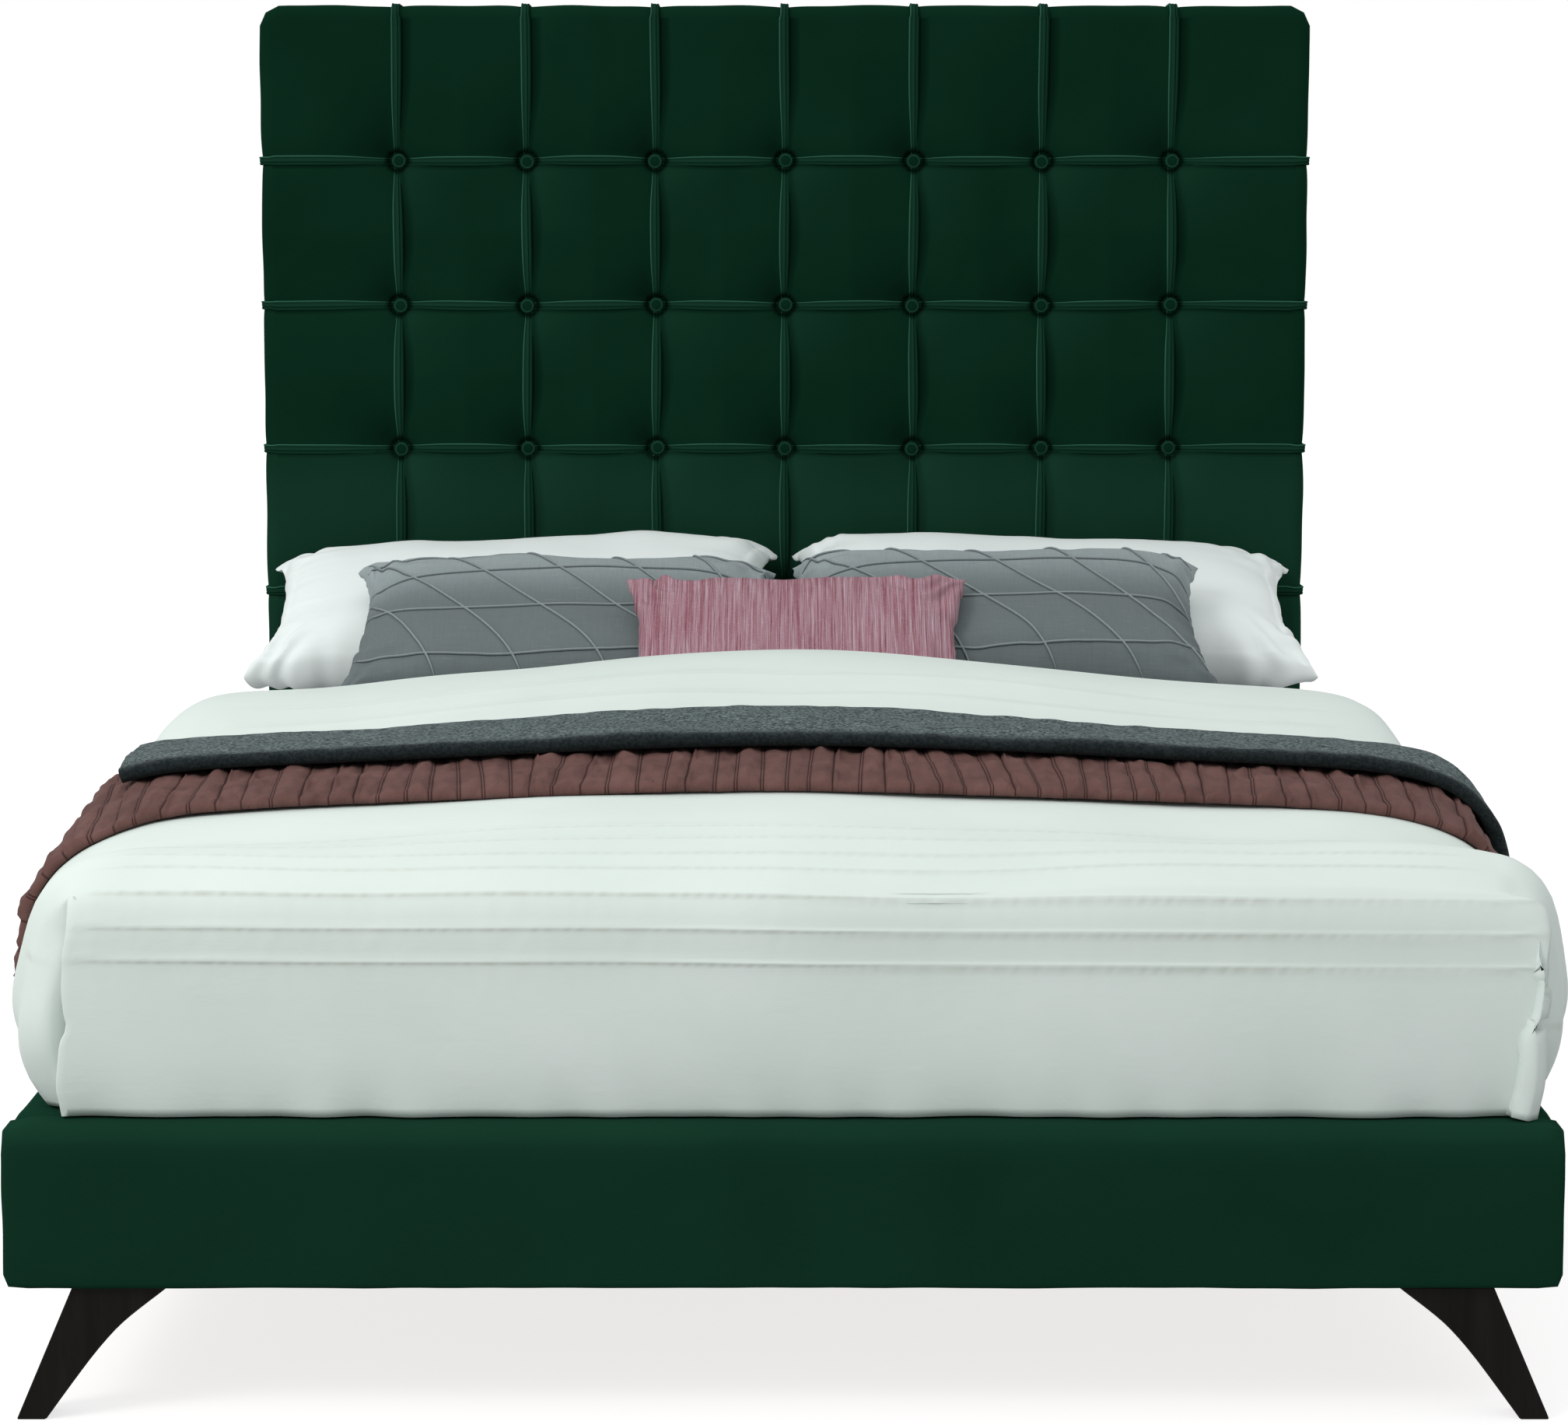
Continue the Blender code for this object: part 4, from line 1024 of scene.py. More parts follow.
def fitted_sheet():
    """A thin cap: outer loops up from the hem and over the top, then back inside."""
    low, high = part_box("fitted_sheet")
    outer = [(0.004, 0.0), (0.0, 0.012), (-0.001, 0.03), (0.0, 0.06), (0.001, 0.10), (0.002, 0.14)]
    radius = 0.045
    tall = high.z - low.z
    for k in range(1, 9):
        angle = math.radians(11.25 * k)
        outer.append((radius * (1.0 - math.cos(angle)) + 0.002 * math.cos(angle),
                      tall - radius * (1.0 - math.sin(angle))))
    outer += [(0.10, tall), (0.25, tall), (0.45, tall)]
    count = 420
    levels = []
    skin = 0.0022
    for inward, path in ((0.0, outer), (skin, outer[::-1])):
        for inset, up in path:
            shape, run = rounded_loop(high.x - inset - inward, low.y + inset + inward,
                                      high.y - inset - inward, max(0.085 - inset, 0.02), count)
            near = np.minimum.reduce([np.hypot(shape[:, 0] - sx * high.x, shape[:, 1] - yy)
                                      for sx in (-1, 1) for yy in (low.y, high.y)])
            gather = np.exp(-near / 0.12) * max(0.0, 1.0 - up / 0.16)
            push = 1.0 + gather * 0.0035 * np.sin(run * 2.0 * math.pi / 0.021)
            level = min(low.z + up - inward * (up > 0.1), high.z)
            soft = 0.0006 * wander(shape[:, 0], shape[:, 1], 0.35, 41) * (up > tall - 0.01)
            levels.append(np.column_stack([shape * push[:, None], level - np.abs(soft)]))
    points = np.concatenate(levels)
    faces = grid_faces(len(levels), count, ring=True)
    last = (len(levels) - 1) * count
    faces += [(last + (c + 1) % count, last + c, c, (c + 1) % count) for c in range(count)]
    # the top is one flat face outside and one inside, with nothing between them
    lid = list(range((len(outer) - 1) * count, len(outer) * count))
    inner_lid = list(range(len(outer) * count, (len(outer) + 1) * count))
    faces = [f for f in faces if not (set(f) & set(lid) and set(f) & set(inner_lid))]
    faces += [tuple(lid), tuple(inner_lid[::-1])]
    return face_out(piece("fitted_sheet_cloth", points, faces, SHEETING))


belongs(fitted_sheet(), "made_mattress", "fitted_sheet")
print("mattress and sheet made")

# %% [markdown]
# The duvet's cover has pairs of pin tucks across its foot end: tiny folds stitched down,
# each a low ridge with a painted shadow under it, in dashes like stitching. At the two front
# corners the cloth is folded like a parcel, so a flat front panel meets a puffed side flap in
# a deep crease. The front panel and the top are one block of points, the side flaps join it
# above the crease, and rows of points turn inwards at the crease so that it is really folded
# and dark.

# %% The duvet
STEPS = 150                  # points on each half of a section
TURN_COLUMNS = 5             # points that turn a front row into the crease, at each end
APEX_Y = -1.028              # where the corner crease begins at the top
TUCKS_TOP = (-0.993, -0.960, -0.917, -0.873)
TUCKS_FRONT = (0.5603, 0.5255, 0.490)
TUCKS_HEAD = (0.020, -0.045)
ROLL_Y, ROLL_Z = 0.030, 0.062
# where the two creases lie, from the top down: (height, x)
CREASE_LEFT = ((0.58, -0.7605), (0.534, -0.7605), (0.506, -0.7655), (0.460, -0.768), (0.434, -0.7655),
               (0.423, -0.762), (0.4055, -0.7705), (0.373, -0.7733), (0.353, -0.7747), (0.334, -0.7713),
               (0.31, -0.7688))
CREASE_RIGHT = ((0.58, 0.8126), (0.559, 0.8126), (0.538, 0.8106), (0.514, 0.8067), (0.484, 0.8059),
                (0.4485, 0.801), (0.433, 0.795), (0.418, 0.7958), (0.387, 0.795), (0.358, 0.7926),
                (0.31, 0.7826))


def duvet_top(y):
    """The duvet's crown, eased down where it rolls over at the foot."""
    return crown(y) - 0.018 * np.clip((-0.90 - y) / 0.128, 0.0, 1.0) ** 2


def duvet_block():
    """Rows of sections from the foot's apex row to the head, each row one station."""
    near_tuck = (-0.012, -0.006, -0.0028, -0.0012, 0.0, 0.0012, 0.0028, 0.006)
    stations = spread_lines(TUCKS_TOP + TUCKS_HEAD, near_tuck, APEX_Y, DUVET_HEAD - 0.055, 0.012)
    rows = []
    for y in stations:
        x, z = outline(y, STEPS, float(duvet_top(y)))
        rows.append(np.column_stack([x, np.full(len(x), y), z]))
    # roll the head end over and down on to the sheet
    last = rows[-1]
    for turn in np.linspace(0.125, 1.0, 8):
        angle = turn * math.pi / 2.0
        squeeze = 1.0 - 0.030 * (1.0 - math.cos(angle))
        drop = np.clip((last[:, 2] - 0.36) / 0.3, 0.0, 1.0) * 0.062 * (1.0 - math.cos(angle))
        rows.append(np.column_stack([last[:, 0] * squeeze, last[:, 1] + 0.053 * math.sin(angle),
                                     last[:, 2] - drop]))
    last = rows[-1]
    for turn in (0.3, 0.65, 1.0):
        low = np.clip((last[:, 2] - 0.36) / 0.26, 0.0, 1.0)
        rows.append(np.column_stack([last[:, 0] * (1.0 - 0.02 * turn), last[:, 1] - 0.030 * turn ** 2,
                                     last[:, 2] - low * 0.045 * turn]))
    return rows


rows = duvet_block()
apex = rows[0]
wide = len(apex)
between = (apex[:, 0] >= CREASE_LEFT[0][1]) & (apex[:, 0] <= CREASE_RIGHT[0][1])
inside = np.where(between & (apex[:, 2] > 0.5))[0]
first_col, last_col = int(inside[0]), int(inside[-1])
panel = apex[first_col:last_col + 1].copy()
print("front panel columns", len(panel), "apex height", round(float(panel[0, 2]), 3))


def crease_at(line, z):
    """Where a crease lies at a height."""
    heights, places = np.array(line[::-1]).T
    return np.interp(z, heights, places)


def front_rows():
    """Rows down the front panel, from just under the apex row to the hem."""
    top = float(panel[:, 2].max())
    levels = set(spread_lines(TUCKS_FRONT, (-0.006, -0.0028, -0.0012, 0.0, 0.0012, 0.0028, 0.006), HEM,
                              top - 0.004, 0.010))
    levels |= {top - ROLL_Z * (1.0 - math.cos(math.radians(a))) for a in (9, 15, 21)}
    share = (panel[:, 0] - panel[0, 0]) / (panel[-1, 0] - panel[0, 0])
    result = []
    for level in sorted(levels, reverse=True):
        drop = top - level
        if drop < ROLL_Z:
            y = APEX_Y - ROLL_Y * math.sin(math.acos(1.0 - drop / ROLL_Z))
        else:
            down = (top - ROLL_Z - level) / (top - ROLL_Z - HEM)
            y = APEX_Y - ROLL_Y - 0.003 * math.sin(math.pi * down) + 0.005 * max(down - 0.7, 0.0)
        z = HEM + (level - HEM) * (panel[:, 2] - HEM) / (top - HEM)
        left, right = crease_at(CREASE_LEFT, level), crease_at(CREASE_RIGHT, level)
        result.append(np.column_stack([left + (right - left) * share, np.full(len(panel), y), z]))
    return result


def turn_back(row, depth_share):
    """Columns that carry a front row round its side edge and into the crease."""
    left, right = [], []
    for out, back in ((0.0025, 0.002), (0.0040, 0.008), (0.0030, 0.016), (-0.003, 0.023), (-0.016, 0.027)):
        for side, store, end in ((-1.0, left, row[0]), (1.0, right, row[-1])):
            store.append(end + np.array([side * out * depth_share, back * depth_share, 0.0]))
    return np.array(left[::-1]), np.array(right)


def flap_rows():
    """Rows that carry the side flaps' front edges inwards, behind the front panel."""
    made = []
    for inward, forward in ((0.006, 0.003), (0.014, 0.004), (0.026, 0.002), (0.055, -0.004)):
        low = np.clip((apex[first_col, 2] - apex[:, 2]) / 0.03, 0.0, 1.0)
        shift = np.sign(apex[:, 0]) * -inward * low
        made.append(np.column_stack([apex[:, 0] + shift, apex[:, 1] - forward * low, apex[:, 2]]))
    return made


def duvet_mesh():
    """The top block, the front panel below it, and the flaps that go in behind the panel."""
    points, faces = list(rows), grid_faces(len(rows), wide)
    start = len(rows) * wide
    front = front_rows()
    front_width = len(panel) + 2 * TURN_COLUMNS
    for number, row in enumerate(front):
        left, right = turn_back(row, float(smooth((number + 1) / 7.0)))
        points.append(np.concatenate([left, row, right]))
    faces += [tuple(reversed(f)) for f in grid_faces(len(front), front_width, start)]
    top_row = [first_col] * TURN_COLUMNS + list(range(first_col, last_col + 1)) + [last_col] * TURN_COLUMNS
    for c in range(front_width - 1):
        if top_row[c] == top_row[c + 1]:
            faces.append((start + c, start + c + 1, top_row[c]))
        else:
            faces.append((start + c, start + c + 1, top_row[c + 1], top_row[c]))
    start += len(front) * front_width
    flaps = flap_rows()
    for low_col, high_col in ((0, first_col), (last_col, wide - 1)):
        width = high_col - low_col + 1
        points += [flap[low_col:high_col + 1] for flap in flaps]
        faces += [(start + c, start + c + 1, low_col + c + 1, low_col + c) for c in range(width - 1)]
        faces += [tuple(reversed(f)) for f in grid_faces(len(flaps), width, start)]
        start += len(flaps) * width
    return np.concatenate(points), faces


def tuck_profile(distance):
    """A pin tuck's height: a sharp little ridge, steeper below than above."""
    return np.exp(-np.abs(distance) / np.where(distance > 0.0, 0.0016, 0.0030))


def dress_duvet(points, normals):
    """Push the points out along their normals for tucks, puckers and soft hollows, and paint the shadow under the
    tucks.
    """
    x, y, z = points.T
    on_top = smooth((z - 0.52) / 0.03) * (y > APEX_Y - 0.001)
    on_front = smooth((APEX_Y - 0.003 - y) / 0.008)
    ridge, stitch_and_shade = np.zeros(len(x)), np.zeros(len(x))
    sway = 0.0016 * wander(x, 0.0, 0.45, 71)
    fade = smooth((0.775 - np.abs(x)) / 0.10)
    dash = 0.72 + 0.28 * np.sin(x * 2.0 * math.pi / 0.013 + 3.0 * wander(x, 0.0, 0.06, 72))
    # the stitch mark under each tuck is painted shadow, broken into dashes like stitching
    for k, place in enumerate(TUCKS_TOP):
        gap = y + sway * (1.0 + 0.4 * k) - place + 0.006 * (k - 1) * np.abs(x) ** 2
        ridge += 0.0015 * tuck_profile(-gap) * on_top * fade
        stitch_and_shade += 0.45 * np.exp(-((gap + 0.003) / 0.0024) ** 2) * on_top * fade * dash
    for place in TUCKS_HEAD:
        gap = y + 3.0 * sway - place
        ridge += 0.0030 * tuck_profile(gap * 0.6) * on_top * fade
        stitch_and_shade += 0.30 * np.exp(-((gap + 0.004) / 0.0030) ** 2) * on_top * fade
    pleats = np.zeros(len(x))
    for place in TUCKS_FRONT:
        gap = z + sway + 0.0045 * x - place
        ridge += 0.0018 * tuck_profile(gap) * on_front
        stitch_and_shade += 0.85 * np.exp(-((gap + 0.0026) / 0.0020) ** 2) * on_front * (0.35 + 0.65 * fade) * dash
        pleats += np.exp(-np.abs(z - place + 0.008) / 0.010) * on_front
    ticks = 0.0016 * (dash - 0.72)
    hollow = 0.0030 * wander(x, y + z, 0.42, 73) * (1.0 - 0.4 * on_front)
    small = 0.0011 * wander(x * 0.6, y + z, 0.15, 74)
    low_fold = 0.0022 * wander(x, 0.25 * z, 0.09, 75) * np.exp(-(z - HEM) / 0.03)
    low_fold = low_fold * (on_front + (np.abs(x) > 0.78))
    near = np.exp(-((np.abs(x) - 0.70) / 0.10) ** 2) * np.exp(-((y + 0.20) / 0.10) ** 2) * on_top
    pucker = 0.0060 * near * wander(x, 0.35 * y, 0.055, 76)
    flap = smooth((np.abs(x) - 0.770) / 0.02) * smooth((-0.86 - y) / 0.10) * (1.0 - on_front)
    loose = 0.0032 * flap * wander(0.45 * z, y, 0.06, 77)
    seam = np.where(x < 0.0, 0.488, 0.418) + 0.25 * (y + 1.0)
    stitch_and_shade += 0.45 * flap * np.exp(-((z - seam) / 0.0014) ** 2)
    move = ridge + ticks * pleats + hollow + small + low_fold + pucker + loose
    return points + normals * move[:, None], np.clip(stitch_and_shade, 0.0, 1.0)


points, faces = duvet_mesh()
duvet = face_out(piece("duvet_cover", points, faces, COTTON))
if duvet.data.vertices[int(np.argmax(points[:, 2]))].normal.z < 0.0:
    duvet.data.flip_normals()
moved, stitch_and_shade = dress_duvet(points, read_vectors(duvet, "normal"))
write_points(duvet, moved)
paint(duvet, "stitch_and_shade", stitch_and_shade)
thick = duvet.modifiers.new("filling", "SOLIDIFY")
thick.thickness, thick.offset = 0.012, -1.0
belongs(duvet, "made_mattress", "duvet")
print("duvet points", len(points))

# %% [markdown]
# Two folded cloths lie across the duvet. Each is one long strip folded in half lengthwise:
# the fold faces the foot of the bed, and its two open edges face the pillows. So each ring
# across the strip is a U: the outer top, round the fold, the outer bottom, and back inside.
# The mauve blanket is ruched, with narrow tucks every few centimetres across it and crushed
# cloth between them. The charcoal wool is smooth, thick and fuzzy.

# %% Folded strips
def folded_strip(name, front, back, across, under, thick, layer, finish, shape, marks, lean=None):
    """A closed U-shaped strip that follows the duvet's outline from left to right.

    front and back give the edges' places along the bed at each share of the way across,
    across lists shares of the outline's length, and under is the strip's height above the
    duvet. shape gives height to add on top, from a share and a place along the bed. A mark's
    rule gives its value from a share and the distance behind the front edge. lean shifts a
    share by an amount that grows along the bed.
    """
    ys = np.linspace(DUVET_FOOT, DUVET_HEAD, 60)
    sections = [outline(y, 260) for y in ys]
    paths = np.array([np.column_stack(s) for s in sections])
    normal = np.array([np.column_stack(outward(*s)) for s in sections])
    columns, fold_steps, hidden_columns = 30, 7, 10
    radius = thick / 2.0
    points, painted = [], {key: [] for key in marks}
    for s in across:
        slant = lean(s) if lean else 0.0
        index = np.clip(s + slant * (ys + 0.6), 0.0, 1.0) * (paths.shape[1] - 1)
        low = np.minimum(index.astype(int), paths.shape[1] - 2)
        rest, each = (index - low)[:, None], np.arange(len(ys))
        mixed = paths[each, low] * (1.0 - rest) + paths[each, low + 1] * rest
        up = normal[each, low] * (1.0 - rest) + normal[each, low + 1] * rest
        y_front, y_back = front(s), back(s)

        def at(y, height):
            px, pz = np.interp(y, ys, mixed[:, 0]), np.interp(y, ys, mixed[:, 1])
            nx, nz = np.interp(y, ys, up[:, 0]), np.interp(y, ys, up[:, 1])
            return px + nx * height, y, pz + nz * height

        ring = [at(y, under + thick + shape(s, y)) for y in np.linspace(y_back, y_front + radius, columns)]
        for k in range(1, fold_steps):
            angle = math.pi * k / fold_steps
            y = y_front + radius - radius * math.sin(angle)
            swell = shape(s, y) * (1.0 - k / fold_steps)
            ring.append(at(y, under + radius + radius * math.cos(angle) + swell))
        outside = [place[1] - y_front for place in ring]
        ring += [at(y, under) for y in np.linspace(y_front + radius, y_back, hidden_columns)]
        inner = np.linspace(y_back, y_front + radius * 0.9, hidden_columns)
        ring += [at(y, under + layer) for y in inner]
        ring += [at(y, under + thick - layer + 0.8 * shape(s, y)) for y in inner[::-1]]
        points += ring
        for key, rule in marks.items():
            painted[key] += [rule(s, behind) for behind in outside] + [0.5] * (3 * hidden_columns)
    count = len(ring)
    faces = grid_faces(len(across), count, ring=True)
    for base in (0, (len(across) - 1) * count):
        faces.append(tuple(range(base, base + count)))
    return face_out(piece(name, points, faces, finish, painted))


LENGTH = 2.33                # length of the duvet's outline over the blanket
pick = np.random.default_rng(5)
TUCK_SHARES = np.cumsum(pick.uniform(0.0112, 0.0160, 90))
TUCK_SHARES = 0.040 + TUCK_SHARES[TUCK_SHARES < 0.915]
TUCK_LEAN = np.convolve(pick.uniform(-0.035, 0.035, len(TUCK_SHARES) + 2), (0.25, 0.5, 0.25), "valid")
DOUBLE = pick.uniform(0.0, 1.0, len(TUCK_SHARES)) < 0.55


def blanket_lean(s):
    """How far a tuck slants, as a share of the width for each metre along the bed."""
    return float(np.interp(s, TUCK_SHARES, TUCK_LEAN))


def cell(s):
    """The nearest tuck, the distance from it in metres, 0 to 1 across the cell, and its number."""
    k = int(np.argmin(np.abs(s - TUCK_SHARES)))
    place = int(np.searchsorted(TUCK_SHARES, s))
    low = TUCK_SHARES[place - 1] if place else s - 0.007
    high = TUCK_SHARES[place] if place < len(TUCK_SHARES) else s + 0.007
    return k, (s - TUCK_SHARES[k]) * LENGTH, (s - low) / (high - low), place


def blanket_height(s, y):
    """Puffs between the tucks, the stitched folds and fins on them, and crushed cloth."""
    k, gap, part, place = cell(s)
    puff = (0.0042 + 0.0022 * math.sin(place * 2.4)) * math.sin(math.pi * part) ** 0.6
    fold = 0.0020 * math.exp(-(gap / 0.0012) ** 2) * DOUBLE[k]
    fin = 0.0050 * math.exp(-abs(gap - 0.0045) / 0.0018) * (1 - DOUBLE[k])
    fin = fin * (0.5 + 0.5 * math.sin(30.0 * y + k))
    crush = 0.0015 * float(wander(s * LENGTH, 0.30 * y, 0.017, 91, 10)) * math.sin(math.pi * part)
    dent = 0.0012 * float(wander(s * LENGTH, y, 0.032, 93, 8))
    broad = 0.0014 * float(wander(s * LENGTH, y, 0.11, 92, 8))
    return puff + fold + fin + crush + dent + broad - 0.0035


def blanket_stitch(s, behind):
    """One dark line along a single tuck, and two along a double one."""
    k, gap = cell(s)[:2]
    if DOUBLE[k]:
        return math.exp(-((abs(gap) - 0.0017) / 0.0008) ** 2)
    return 0.85 * math.exp(-(gap / 0.0011) ** 2)


def blanket_front(s):
    """The blanket's fold, which comes further forward where it hangs down on the left."""
    return -0.715 + 0.004 * math.sin(17.0 * s) - 0.085 * float(smooth((0.19 - s) / 0.11))


NEAR_TUCK = (-0.0105, -0.0070, -0.0045, -0.0028, -0.0017, -0.0008, 0.0, 0.0008, 0.0017, 0.0028, 0.0045,
             0.0070, 0.0105)
across = spread_lines([float(v) * LENGTH for v in TUCK_SHARES], NEAR_TUCK, 0.045 * LENGTH, 0.955 * LENGTH,
                      0.0035) / LENGTH
blanket = folded_strip("mauve_blanket_cloth", blanket_front, lambda s: -0.222, across, 0.003, 0.0135, 0.0045,
                       MAUVE, blanket_height, {"stitch_and_shade": blanket_stitch}, blanket_lean)
belongs(blanket, "made_mattress", "mauve_blanket")
print("blanket tucks", len(TUCK_SHARES), "lines", len(across))


def throw_front(s):
    return -0.510 + 0.004 * math.sin(11.0 * s + 1.0)


def throw_back(s):
    return -0.266 - 0.030 * float(smooth((s - 0.56) / 0.08))


def wool_height(s, y):
    """Broad and small unevenness of the thick wool."""
    return 0.0013 * float(wander(s * 2.3, y, 0.16, 95, 8)) + 0.0005 * float(wander(s * 2.3, y, 0.03, 96, 8))


def wool_shade(s, behind):
    """Painted shade where the wool turns under at the fold."""
    return 0.92 * math.exp(-(max(behind, 0.0) / 0.020) ** 2)


throw = folded_strip("charcoal_throw_cloth", throw_front, throw_back, np.linspace(0.143, 0.955, 346),
                     0.0215, 0.0175, 0.0075, WOOL, wool_height, {"crease": wool_shade})
belongs(throw, "made_mattress", "charcoal_throw")
print("throws laid")

# %% [markdown]
# A pillow is two flat cloths sewn round the edge and blown up by its filling: crowned in
# the middle, pulled in along its sides, with ears at its corners and creases that fan out
# from them. Each starts as two grids that meet at the seam, a little too small, and then a
# cloth simulation with pressure swells it and finds the creases. A cap on the movement
# keeps every pillow inside the space that the CAD model gives it.


# %% Pillow helpers
class Pillow:
    """The leaning frame of one pillow: where a place on its seam plane lies."""

    def __init__(self, centre, half, foot, head, swell, sag):
        self.centre, self.half, self.swell, self.sag = centre, half, swell, sag
        foot, head = np.array((0.0, *foot)), np.array((0.0, *head))
        self.middle, self.run = (foot + head) / 2.0, (head - foot) / 2.0
        self.normal = np.array((0.0, -self.run[2], self.run[1])) / np.linalg.norm(self.run)

    def place(self, u, v, lift):
        u, v, lift = (np.asarray(k, float) for k in (u, v, lift))
        across = self.half * u * (1.0 - 0.070 * (1.0 - v * v) * u * u)
        along = v * (1.0 - 0.045 * (1.0 - u * u) * v * v)
        points = self.middle + self.run * along[..., None] + self.normal * lift[..., None]
        points[..., 0] += self.centre + across
        return points

    def share(self, points):
        """Shares across and along of points near the pillow."""
        local = points - self.middle
        return (points[:, 0] - self.centre) / self.half, local @ self.run / (self.run @ self.run)


def spaced(count):
    """Places from -1 to 1, closer together near the ends."""
    even = np.linspace(-1.0, 1.0, count)
    return np.sign(even) * np.abs(even) ** 0.85


def pillow_mesh(name, form, finish, columns, rows, ears=0.0):
    """Two grids that share their border."""
    u, v = np.meshgrid(spaced(columns), spaced(rows))
    fill = np.sqrt(np.clip(1.0 - u ** 4, 0.0, 1.0) * np.clip(1.0 - v ** 4, 0.0, 1.0))
    ear = ears * (np.abs(u) * np.abs(v)) ** 6
    top = form.place(u, v, (form.swell - 0.008) * fill + ear)
    under = form.place(u, v, -form.sag * fill * (1.0 - v) / 2.0 - 0.004 * fill)
    index = np.arange(rows * columns).reshape(rows, columns)
    lower = index + rows * columns
    border = np.ones((rows, columns), bool)
    border[1:-1, 1:-1] = False
    lower[border] = index[border]
    faces = grid_faces(rows, columns)
    for r in range(rows - 1):
        for c in range(columns - 1):
            faces.append((lower[r, c], lower[r + 1, c], lower[r + 1, c + 1], lower[r, c + 1]))
    points = np.concatenate([top.reshape(-1, 3), under.reshape(-1, 3)])
    used = np.zeros(len(points), bool)
    used[np.unique(np.array(faces))] = True
    renumber = np.cumsum(used) - 1
    faces = [tuple(int(renumber[k]) for k in face) for face in faces]
    return face_out(piece(name, points[used], faces, finish))


def read_points(obj):
    store = np.zeros(len(obj.data.vertices) * 3, np.float32)
    obj.data.vertices.foreach_get("co", store)
    return store.reshape(-1, 3).astype(float)


def write_points(obj, points):
    obj.data.vertices.foreach_set("co", np.asarray(points, np.float32).ravel())
    obj.data.update()


def inflate(obj, pressure, limit, shrink, stiff=12.0):
    """Swell a closed cloth with pressure, and let no point move further than the limit."""
    rest = read_points(obj)
    cloth = obj.modifiers.new("cloth", "CLOTH")
    cloth.settings.quality = 5
    cloth.settings.mass = 0.25
    cloth.settings.tension_stiffness = stiff
    cloth.settings.compression_stiffness = stiff
    cloth.settings.shear_stiffness = 4.0
    cloth.settings.bending_stiffness = 0.15
    cloth.settings.shrink_min = shrink
    cloth.settings.use_pressure = True
    cloth.settings.uniform_pressure_force = pressure
    cloth.settings.effector_weights.gravity = 0.0
    cloth.collision_settings.use_collision = False
    cloth.point_cache.frame_start, cloth.point_cache.frame_end = 1, 20
    for frame_number in range(1, 21):
        scene.frame_set(frame_number)
    graph = bpy.context.evaluated_depsgraph_get()
    swollen = obj.evaluated_get(graph).to_mesh()
    moved = np.zeros(len(swollen.vertices) * 3, np.float32)
    swollen.vertices.foreach_get("co", moved)
    obj.evaluated_get(graph).to_mesh_clear()
    obj.modifiers.remove(cloth)
    scene.frame_set(1)
    shift = moved.reshape(-1, 3) - rest
    far = np.linalg.norm(shift, axis=1)
    rest = rest + shift * (np.minimum(far, limit) / np.maximum(far, 1e-9))[:, None]
    print(obj.name, "swelled by up to", round(float(min(far.max(), limit)) * 1000, 1), "mm")
    write_points(obj, rest)


def crease(obj, form, seed, ripple, corner, plump=None):
    """Gathers along the side seams, and creases that fan out of the corners.

    plump gives how far the rear of the pillow is raised, from the shares across and along.
    """
    points = read_points(obj)
    normals = np.zeros(len(points) * 3, np.float32)
    obj.data.vertices.foreach_get("normal", normals)
    normals = normals.reshape(-1, 3)
    u, v = form.share(points)
    x, y = points[:, 0], points[:, 1] + points[:, 2]
    side = np.exp(-np.clip(1.0 - np.abs(u), 0.0, 1.0) * form.half / 0.045)
    near_seam = np.exp(-np.clip(1.0 - np.abs(v), 0.0, 1.0) * 0.2 / 0.03)
    gathers = ripple * side * wander(0.12 * x, y, 0.030, seed) * (1.0 - near_seam * 0.5)
    move = gathers + 0.5 * ripple * near_seam * wander(x, 0.15 * y, 0.045, seed + 1)
    for cu in (-1.0, 1.0):
        for cv in (-1.0, 1.0):
            du, dv = (u - cu) * form.half, (v - cv) * np.linalg.norm(form.run)
            reach = np.hypot(du, dv)
            angle = np.arctan2(dv, du)
            fan = np.sin(angle * 11.0 + 3.0 * wander(reach, angle * 0.1, 0.12, seed + 3))
            move += corner * fan * np.exp(-((reach - 0.07) / 0.055) ** 2)
    move += 0.0022 * wander(x, y, 0.17, seed + 5)
    points = points + normals * move[:, None]
    if plump is not None:
        points[:, 2] += plump(u, v)
    points[:, 2] = np.maximum(points[:, 2], SHEET_TOP + 0.0012)
    write_points(obj, points)


def paint_shade(obj, form, low, high, strength):
    """Paint shade on the lower front of a pillow, which faces away from the light."""
    u, v = form.share(read_points(obj))
    layer = obj.data.attributes.new("shade", "FLOAT", "POINT")
    layer.data.foreach_set("value", (strength * smooth((high - v) / (high - low))).astype(np.float32))


def finish_pillow(obj, node, body):
    rounder = obj.modifiers.new("smoother", "SUBSURF")
    rounder.levels = rounder.render_levels = 1
    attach(obj, body)
    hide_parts(node)
    return obj


print("pillow helpers ready")

# %% [markdown]
# Two white sleeping pillows lean on the headboard. Their cases are plain washed cotton; the
# right one has a hem with three stitched tucks near its open end.

